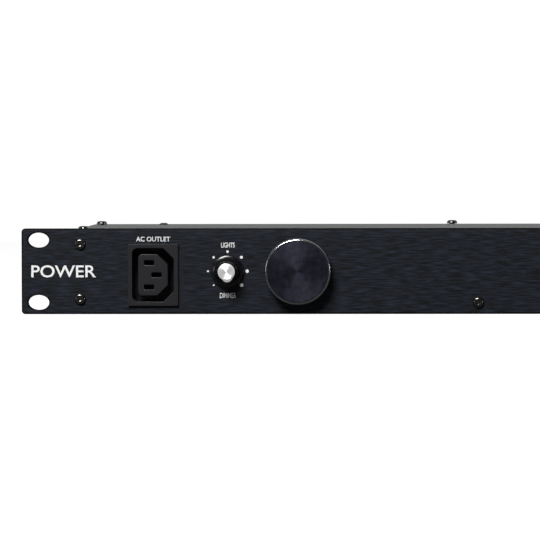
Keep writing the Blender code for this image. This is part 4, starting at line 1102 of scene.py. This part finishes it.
@dataclass
class PullOutLamp:
    """One pull-out lamp's cap, tube, lens and lit board; its plug and carriage keep their CAD shapes."""

    side: str
    edge_width: float = 0.0010
    groove_pitch: float = 0.0004
    groove_depth: float = 0.000030
    wall: float = 0.0015
    spigot: float = 0.0080
    window_start: float = 0.0080
    window_length: float = 0.0880
    window_half: float = math.radians(40.0)

    def build(self) -> None:
        """Builds the lamp's shown pieces in place of the CAD ones."""
        self.cap()
        self.tube()
        self.lens()
        self.lit_board()

    def place(
        self, part: str, mesh: bpy.types.Mesh, at: Sequence[float], slot: str, even: bool = False
    ) -> None:
        """Puts a piece in place of this side's CAD node, on the body that turns."""
        node = f"{self.side}_{part}"
        put(f"{node}_piece", mesh, at, f"{self.side}_lamp", [node], even=even)

    def cap(self) -> None:
        """The turned cap: a grooved face inside a bright bevel, a plain side and the spigot behind."""
        box = Box.of(f"{self.side}_lamp_cap")
        radius = box.size.x / 2
        height = box.size.y - self.spigot
        profile: list[Point] = []
        slots: list[int] = []
        count = int((radius - self.edge_width - 0.0003) / (self.groove_pitch / 2))
        for n in range(1, count + 1):
            profile.append((n * self.groove_pitch / 2, self.groove_depth * (n % 2)))
            slots.append(0)
        bevel = radius - self.edge_width
        profile.append((bevel, 0.0))
        slots.append(1)
        steps = 8
        for n in range(1, steps + 1):
            turn = math.pi / 2 * n / steps
            across = bevel + self.edge_width * math.sin(turn)
            profile.append((across, self.edge_width * (1 - math.cos(turn))))
            slots.append(1 if n < steps else 0)
        inner = Box.of(f"{self.side}_lamp_tube").size.x / 2 - self.wall - CLEARANCE
        chamfer = 0.0003
        profile += [(radius, height - chamfer), (radius - chamfer, height), (inner, height)]
        profile += [(inner, box.size.y), (0.001, box.size.y)]
        slots += [0, 0, 0, 0]
        body = Body()
        body.lathe(profile, 120, slots)
        mesh = body.mesh("lamp_cap", [CAP, CAP_EDGE], 14.0)
        self.place("lamp_cap", mesh, box.front(), "cap_black")

    def tube(self) -> None:
        """The tube, with a window along its underside."""
        box = Box.of(f"{self.side}_lamp_tube")
        radius = box.size.x / 2
        length = box.size.y
        start = self.window_start - (box.low.y - Box.of("front_panel").high.y)
        end = start + self.window_length
        half = self.window_half
        sides = 96
        body = Body()
        spans = [(0.0, start, False), (start, end, True), (end, length, False)]
        for low, high, opened in spans:
            self.tube_span(body, radius, low, high, half if opened else 0.0, sides)
        mesh = body.mesh("lamp_tube", [TUBE], 32.0)
        self.place("lamp_tube", mesh, box.front(), "tube_black")

    def tube_span(self, body: Body, radius: float, low: float, high: float, half: float, sides: int) -> None:
        """Adds a stretch of the tube's wall.

        Args:
            body: The mesh to add it to.
            radius: The tube's outer radius.
            low: The stretch's start.
            high: Its end.
            half: Half the angle of the window in its underside, or 0 for a closed stretch.
            sides: Sides of a whole turn.
        """
        inner = radius - self.wall
        if not half:
            profile = [(radius, low), (radius, high), (inner, high), (inner, low)]
            body.lathe(profile, sides, closed=True)
            return
        first = -90 + math.degrees(half)
        last = 270 - math.degrees(half)
        outline = arc((0, 0), radius, first, last, sides) + arc((0, 0), inner, last, first, sides)
        rings = [[Vector((u, y, v)) for u, v in outline] for y in (low, high)]
        body.loft(rings)

    def lens(self) -> None:
        """The frosted lens, with fine ribs along its inside."""
        box = Box.of(f"{self.side}_lamp_lens")
        tube = Box.of(f"{self.side}_lamp_tube")
        outer = tube.size.x / 2 - self.wall - CLEARANCE
        half = math.degrees(math.asin(min(1.0, box.size.x / 2 / outer)))
        steps = 48
        outside = arc((0, 0), outer, -90 - half, -90 + half, steps)
        inside = []
        for n, (u, v) in enumerate(arc((0, 0), outer - 0.0010, -90 + half, -90 - half, steps)):
            rib = 1.0 if n % 2 else 0.985
            inside.append((u * rib, v * rib))
        rings = [[Vector((u, y, v)) for u, v in outside + inside] for y in (0.0, box.size.y)]
        body = Body()
        body.loft(rings)
        at = Vector((tube.centre.x, box.low.y, tube.centre.z))
        mesh = body.mesh("lamp_lens", [LENS], 20.0)
        self.place("lamp_lens", mesh, at, "lens_frosted")

    def lit_board(self) -> None:
        """The board with its lit parts: a white base and a yellow lens on each, and a driver between them."""
        box = Box.of(f"{self.side}_lamp_led_board")
        size = box.size
        body = Body()
        thickness = 0.0016
        top = size.z
        under = top - thickness
        soft = 0.0002
        body.block((-size.x / 2, 0.0, under), (size.x / 2, size.y, top), soft, 0)
        front = Box.of("front_panel").high.y + self.window_start - box.low.y
        pitch = self.window_length / 3
        for n in range(3):
            y = front + pitch * (n + 0.5)
            body.block((-0.0025, y - 0.0025, 0.0006), (0.0025, y + 0.0025, under), soft, 1)
            dome = body.lathe([(BORE, -0.0006), (0.0012, -0.0005), (0.0017, 0.0), (0.0017, 0.0002)], 24)
            self.stand_up(body, dome, (0.0, y, 0.0006))
            if n < 2:
                between = y + pitch / 2
                body.block((0.0050, between - 0.003, 0.0004), (0.0080, between + 0.003, under), soft, 2)
        at = Vector((box.centre.x, box.low.y, box.low.z))
        mesh = body.mesh("lamp_led_board", [BOARD, BUTTON, NYLON, LIT], 40.0)
        self.place("lamp_led_board", mesh, at, "board_green", even=True)

    @staticmethod
    def stand_up(body: Body, verts: list[bmesh.types.BMVert], at: Sequence[float]) -> None:
        """Turns a lit part's dome to face down, moves it to its place and gives it its finish."""
        bmesh.ops.rotate(body.bm, verts=verts, matrix=Matrix.Rotation(math.pi / 2, 3, "X"))
        bmesh.ops.translate(body.bm, verts=verts, vec=at)
        for face in {face for vert in verts for face in vert.link_faces}:
            face.material_index = 3


class Label(Enum):
    """Generic words that say what each control is for."""

    OUTLET = "AC OUTLET"
    LIGHTS = "LIGHTS"
    DIMMER = "DIMMER"
    POWER = "POWER"
    RESET = "RESET"
    PROTECTED = "PROTECTED"
    INPUT = "AC INPUT"
    EARTH = "EARTH"


@dataclass
class Printing:
    """White screen printing: words and dots."""

    thickness: float = 0.00003
    wall_inset: float = 0.0006
    dot_radius: float = 0.0100
    first_dot: float = 0.00045
    last_dot: float = 0.00092
    dots: int = 7

    def build(self) -> None:
        """Prints the front and the rear."""
        panel = Box.of("front_panel")
        face = panel.low.y
        outlet = Box.of("front_outlet")
        knob = Box.of("dimmer_knob")
        middle = panel.centre.z
        self.word(Label.OUTLET, (outlet.centre.x, face, outlet.high.z + 0.0024), 0.0174, 0.0024)
        self.word(Label.LIGHTS, (knob.centre.x + 0.0002, face, middle + 0.0133), 0.0070, 0.0026)
        self.word(Label.DIMMER, (knob.centre.x + 0.0002, face, middle - 0.0123), 0.0083, 0.0026)
        self.dot_ring(knob.centre, face)
        switch = Box.of("power_switch_housing")
        breaker = Box.of("breaker_nut")
        lens = Box.of("indicator_lens")
        self.word(Label.POWER, (switch.centre.x, face, switch.high.z + 0.0022), 0.0090, 0.0024)
        self.word(Label.RESET, (breaker.centre.x, face, middle + 0.0123), 0.0080, 0.0024)
        self.word(Label.PROTECTED, (lens.centre.x, face, middle - 0.0070), 0.0125, 0.0018)
        self.emblem(panel)
        tray = Box.of("chassis_tray")
        wall = tray.high.y - self.wall_inset
        inlet = Box.of("inlet_housing")
        stud = Box.of("earth_stud")
        self.word(Label.INPUT, (inlet.centre.x, wall, inlet.high.z + 0.0030), 0.0170, 0.0024, rear=True)
        self.word(Label.EARTH, (stud.centre.x, wall, stud.high.z + 0.0040), 0.0085, 0.0022, rear=True)

    def emblem(self, panel: Box) -> None:
        """A plain word in upright letters at the panel's left end."""
        at = (panel.low.x + 0.0215, panel.low.y, panel.centre.z)
        self.word(Label.POWER, at, 0.0330, 0.0062, "emblem")

    def word(
        self,
        label: Label,
        at: Sequence[float],
        width: float,
        height: float,
        name: str = "",
        rear: bool = False,
    ) -> None:
        """Prints a word that fills a given width and height.

        Args:
            label: The word.
            at: Its middle, on the surface.
            width: How wide it is.
            height: How tall its letters are.
            name: The piece's name, if it isn't the label's.
            rear: Whether it faces the rear.
        """
        text = bpy.data.curves.new("word", "FONT")
        text.body = label.value
        text.align_x = "CENTER"
        text.align_y = "CENTER"
        text.size = 1.0
        text.offset = 0.012
        text.extrude = 0.5
        holder = bpy.data.objects.new("word", text)
        bpy.context.scene.collection.objects.link(holder)
        bpy.context.view_layer.update()
        graph = bpy.context.evaluated_depsgraph_get()
        mesh = bpy.data.meshes.new_from_object(holder.evaluated_get(graph))
        bpy.data.objects.remove(holder)
        low = Vector([min(v.co[n] for v in mesh.vertices) for n in range(3)])
        high = Vector([max(v.co[n] for v in mesh.vertices) for n in range(3)])
        middle = (low + high) / 2
        scale = Matrix.Diagonal((width / (high.x - low.x), height / (high.y - low.y), self.thickness, 1.0))
        upright = Matrix.Rotation(math.pi / 2, 4, "X")
        about = Matrix.Rotation(math.pi if rear else 0.0, 4, "Z")
        mesh.transform(about @ upright @ scale @ Matrix.Translation(-middle))
        mesh.materials.clear()
        mesh.materials.append(INK.material())
        put(f"print_{name or label.name.lower()}", mesh, at, even=False)

    def dot_ring(self, centre: Vector, face: float) -> None:
        """Prints the dimmer's dots, which grow clockwise.

        Args:
            centre: The knob's middle.
            face: The panel's front.
        """
        body = Body()
        for n in range(self.dots):
            turn = math.radians(225.0 - 45.0 * n)
            radius = self.first_dot + (self.last_dot - self.first_dot) * n / (self.dots - 1)
            across = self.dot_radius * math.cos(turn)
            up = self.dot_radius * math.sin(turn)
            body.plate(moved(circle(radius, 24), across, up), [], -self.thickness, self.thickness, CRISP, 1)
        put("print_dots", body.mesh("dots", [INK]), (centre.x, face, centre.z), even=False)


@dataclass
class PowerControls:
    """The switch's marks, the breaker's button and the indicator at the panel's right end."""

    rocker_tilt: float = math.radians(8.0)
    rocker_thickness: float = 0.0050
    mark_height: float = 0.0046
    mark_stroke: float = 0.0008
    mark_thickness: float = 0.00006

    def build(self) -> None:
        """Builds the round pieces and the marks."""
        self.button()
        self.indicator()
        self.marks()

    def marks(self) -> None:
        """The bar and the ring on the rocker's two faces."""
        box = Box.of("power_switch_rocker")
        top = box.high.z - self.rocker_thickness * math.sin(self.rocker_tilt)
        face = (top - box.low.z) / 2 / math.cos(self.rocker_tilt) ** 2
        slope = 2 * self.rocker_tilt
        bar = Body()
        stroke = rectangle(self.mark_stroke, self.mark_height, 0.0002)
        bar.plate(stroke, [], -self.mark_thickness, 0.0, CRISP, 1)
        half = face / 2
        bar_at = (box.centre.x, box.low.y + half * math.sin(slope), top - half * math.cos(slope))
        mesh = bar.mesh("rocker_bar", [INK])
        put("rocker_mark_bar", mesh, bar_at, "switch_rocker", turn=(slope, 0.0, 0.0), even=False)
        ring = Body()
        outer = circle(self.mark_height / 2, 40)
        inner = circle(self.mark_height / 2 - self.mark_stroke, 40)
        ring.plate(outer, [inner], -self.mark_thickness, 0.0, CRISP, 1)
        ring_at = (box.centre.x, box.low.y + face * math.sin(slope), box.low.z + half)
        put("rocker_mark_ring", ring.mesh("rocker_ring", [INK]), ring_at, "switch_rocker", even=False)

    def button(self) -> None:
        """The breaker's reset button, with a dished top."""
        box = Box.of("breaker_button")
        radius = box.size.x / 2
        profile = [(BORE, 0.00045), (radius * 0.55, 0.00025), (radius * 0.80, 0.0), (radius * 0.94, 0.00012)]
        profile += [(radius, 0.0005), (radius, box.size.y), (BORE, box.size.y)]
        body = Body()
        body.lathe(profile, 48)
        mesh = body.mesh("breaker_button", [BUTTON])
        stands_for = ["breaker_button"]
        put("breaker_button_piece", mesh, box.front(), "reset_button", stands_for, even=False)

    def indicator(self) -> None:
        """The indicator's domed lens on its bezel."""
        box = Box.of("indicator_lens")
        flange = box.size.x / 2
        radius = 0.0025
        dome = 0.0020
        profile = []
        steps = 10
        for n in range(1, steps + 1):
            turn = math.pi / 2 * n / steps
            profile.append((radius * math.sin(turn), dome * (1 - math.cos(turn))))
        seat = box.size.y - 0.0060
        profile += [(radius, seat), (flange, seat), (flange, box.size.y), (BORE, box.size.y)]
        body = Body()
        body.lathe(profile, 48)
        mesh = body.mesh("indicator_lens", [INDICATOR])
        stands_for = ["indicator_lens"]
        put("indicator_lens_piece", mesh, box.front(), "chassis", stands_for, even=False)


@dataclass
class KeptNodes:
    """CAD nodes whose shape is right: each gets its finish, and soft edges where it shows."""

    finishes: dict[str, Finish] = field(default_factory=dict)
    soft: dict[str, float] = field(default_factory=dict)

    def build(self) -> None:
        """Dresses every node that no piece has replaced."""
        for name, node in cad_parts.items():
            finish = self.finishes.get(name)
            if finish is None:
                continue
            node.data.materials.clear()
            node.data.materials.append(finish.material())
            if name in self.soft:
                edge = node.modifiers.new("soft_edge", "BEVEL")
                edge.width = self.soft[name]
                edge.segments = 2
                edge.limit_method = "ANGLE"
                edge.angle_limit = math.radians(40)
                edge.harden_normals = True
            LOG.info("%s keeps its shape, in %s", name, finish.name)


def kept_nodes() -> KeptNodes:
    """The finish of each CAD node.

    Returns:
        The nodes with their finishes and edge radii.
    """
    finishes: dict[str, Finish] = {
        "chassis_tray": COAT,
        "top_cover": COAT,
        "dimmer_shaft": STEEL,
        "dimmer_nut": STEEL,
        "dimmer_potentiometer": NYLON,
        "power_switch_housing": KNOB,
        "power_switch_rocker": ROCKER,
        "breaker_body": NYLON,
        "breaker_nut": STEEL,
        "inlet_housing": OUTLET,
        "rear_outlets_left": OUTLET,
        "rear_outlets_right": OUTLET,
        "earth_stud": BRASS,
        "filter_board": BOARD,
        "filter_choke": COPPER,
        "filter_capacitor": CAPACITOR,
        "surge_varistor": VARISTOR,
        "lamp_transformer": STEEL,
        "live_lead": BROWN,
        "neutral_lead": BLUE,
        "earth_lead": GREEN,
    }
    for name in ("live", "neutral", "earth"):
        # The outlet contacts get the darkened bronze, which is painted shade.
        finishes[f"outlet_contact_{name}"] = CONTACT_PAINTED_SHADE
        finishes[f"inlet_pin_{name}"] = BRASS
        finishes[f"bus_bar_{name}"] = BRASS
    for side in ("left", "right"):
        for name in ("end_plug", "carriage", "guide"):
            finishes[f"{side}_lamp_{name}"] = NYLON
    soft = {
        "chassis_tray": 0.0004,
        "top_cover": 0.0003,
        "power_switch_housing": 0.0004,
        "power_switch_rocker": 0.0005,
        "breaker_nut": 0.0002,
        "dimmer_nut": 0.0002,
        "inlet_housing": 0.0003,
        "rear_outlets_left": 0.0003,
        "rear_outlets_right": 0.0003,
        "earth_stud": 0.0002,
    }
    return KeptNodes(finishes, soft)


# Studio


@dataclass(frozen=True)
class SoftLight:
    """A rectangular soft light: where it stands, how wide and high it is, and its power in watts."""

    name: str
    at: tuple[float, float, float]
    size: tuple[float, float]
    power: float

    def build(self, target: Vector) -> None:
        """Adds the light, facing a point."""
        data = bpy.data.lights.new(self.name, "AREA")
        data.shape = "RECTANGLE"
        data.size, data.size_y = self.size
        data.energy = self.power
        made = bpy.data.objects.new(self.name, data)
        made.location = self.at
        made.rotation_euler = (target - Vector(self.at)).to_track_quat("-Z", "Y").to_euler()
        bpy.context.scene.collection.objects.link(made)


LIGHTS = (
    SoftLight("key", (-0.52, -1.50, 1.12), (0.72, 0.42), 40.0),
    SoftLight("left_strip", (-1.60, -0.80, 0.05), (0.30, 0.90), 2.2),
    SoftLight("right_strip", (1.45, -0.80, -0.02), (0.10, 0.50), 3.2),
)


@dataclass
class Studio:
    """Pale floor, soft light and the camera."""

    camera_distance: float = 2.325
    camera_across: float = -0.0177
    camera_rise: float = 0.0742
    aim_across: float = -0.1146
    aim_rise: float = 0.0006
    roll: float = -0.0022
    lens: float = 305.4
    room_front: float = 0.035
    room_rear: float = 0.70
    front_ends: float = -0.25
    rear_starts: float = 0.35
    backdrop: float = 1.02
    floor_radius: float = 1.45

    def build(self) -> None:
        """Sets up the room, the lights and the camera."""
        bpy.context.scene.view_settings.view_transform = "Standard"
        panel = Box.of("front_panel")
        target = Vector((self.aim_across, panel.low.y, panel.centre.z + self.aim_rise))
        self.room()
        self.floor(panel.low.z)
        for light in LIGHTS:
            light.build(target)
        self.camera(panel, target)

    def room(self) -> None:
        """White to the camera, and to all else a room that is dark at the front and pale at the rear."""
        world = bpy.data.worlds.new("room")
        world.use_nodes = True
        bpy.context.scene.world = world
        graph = Graph(world.node_tree)
        direction = graph.signal("ShaderNodeTexCoord", output="Generated")
        rearward = graph.signal("ShaderNodeSeparateXYZ", {}, {0: direction}, "Y")
        spread = {"Value": rearward, "From Min": self.front_ends, "From Max": self.rear_starts}
        share = graph.signal("ShaderNodeMapRange", {"clamp": True}, spread)
        glow = share * (self.room_rear - self.room_front) + self.room_front
        seen = graph.signal("ShaderNodeLightPath", output="Is Camera Ray")
        background = world.node_tree.nodes["Background"]
        background.inputs["Color"].default_value = (1.0, 1.0, 1.0, 1.0)
        graph.feed(background.inputs["Strength"], seen * self.backdrop + (1 - seen) * glow)

    def floor(self, height: float) -> None:
        """A pale floor, darker in what it throws back so that the undersides stay dark.

        Args:
            height: Its height.
        """
        body = Body()
        body.plate(circle(self.floor_radius, 96), [], 0.0, 0.01, 0.001)
        body.turn(-math.pi / 2, "X")
        mesh = body.mesh("floor", [FLOOR])
        made = bpy.data.objects.new("floor", mesh)
        made.location = (0.0, 0.0, height - 0.0001)
        bpy.context.scene.collection.objects.link(made)
        made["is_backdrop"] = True

    def camera(self, panel: Box, target: Vector) -> None:
        """The camera, a little above the panel's middle.

        Args:
            panel: The panel's box.
            target: What it aims at.
        """
        data = bpy.data.cameras.new("camera")
        data.lens = self.lens
        data.sensor_width = 36.0
        data.clip_end = 100.0
        made = bpy.data.objects.new("camera", data)
        away = panel.low.y - self.camera_distance
        made.location = (self.camera_across, away, panel.centre.z + self.camera_rise)
        level = (target - made.location).to_track_quat("-Z", "Y").to_matrix()
        made.rotation_euler = (level @ Matrix.Rotation(self.roll, 3, "Z")).to_euler()
        bpy.context.scene.collection.objects.link(made)
        bpy.context.scene.camera = made


def corners(bounds: Any) -> list[list[float]]:
    """A box's two corners as plain lists."""
    return [[float(value) for value in corner] for corner in bounds]


def main() -> None:
    """Builds every sub-assembly in order."""
    logging.basicConfig(level=logging.INFO, format="%(message)s")
    frame_box = corners(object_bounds())
    Studio().build()
    FrontPanel().build()
    ButtonScrew().build(PANEL_SCREWS, upright=False)
    ButtonScrew().build(COVER_SCREWS, upright=True)
    MainsOutlet().build()
    DimmerKnob().build()
    for side in ("left", "right"):
        PullOutLamp(side).build()
    PowerControls().build()
    Printing().build()
    kept_nodes().build()
    {"cad": frame_box, "visual": corners(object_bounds())}


if __name__ == "__main__":
    main()
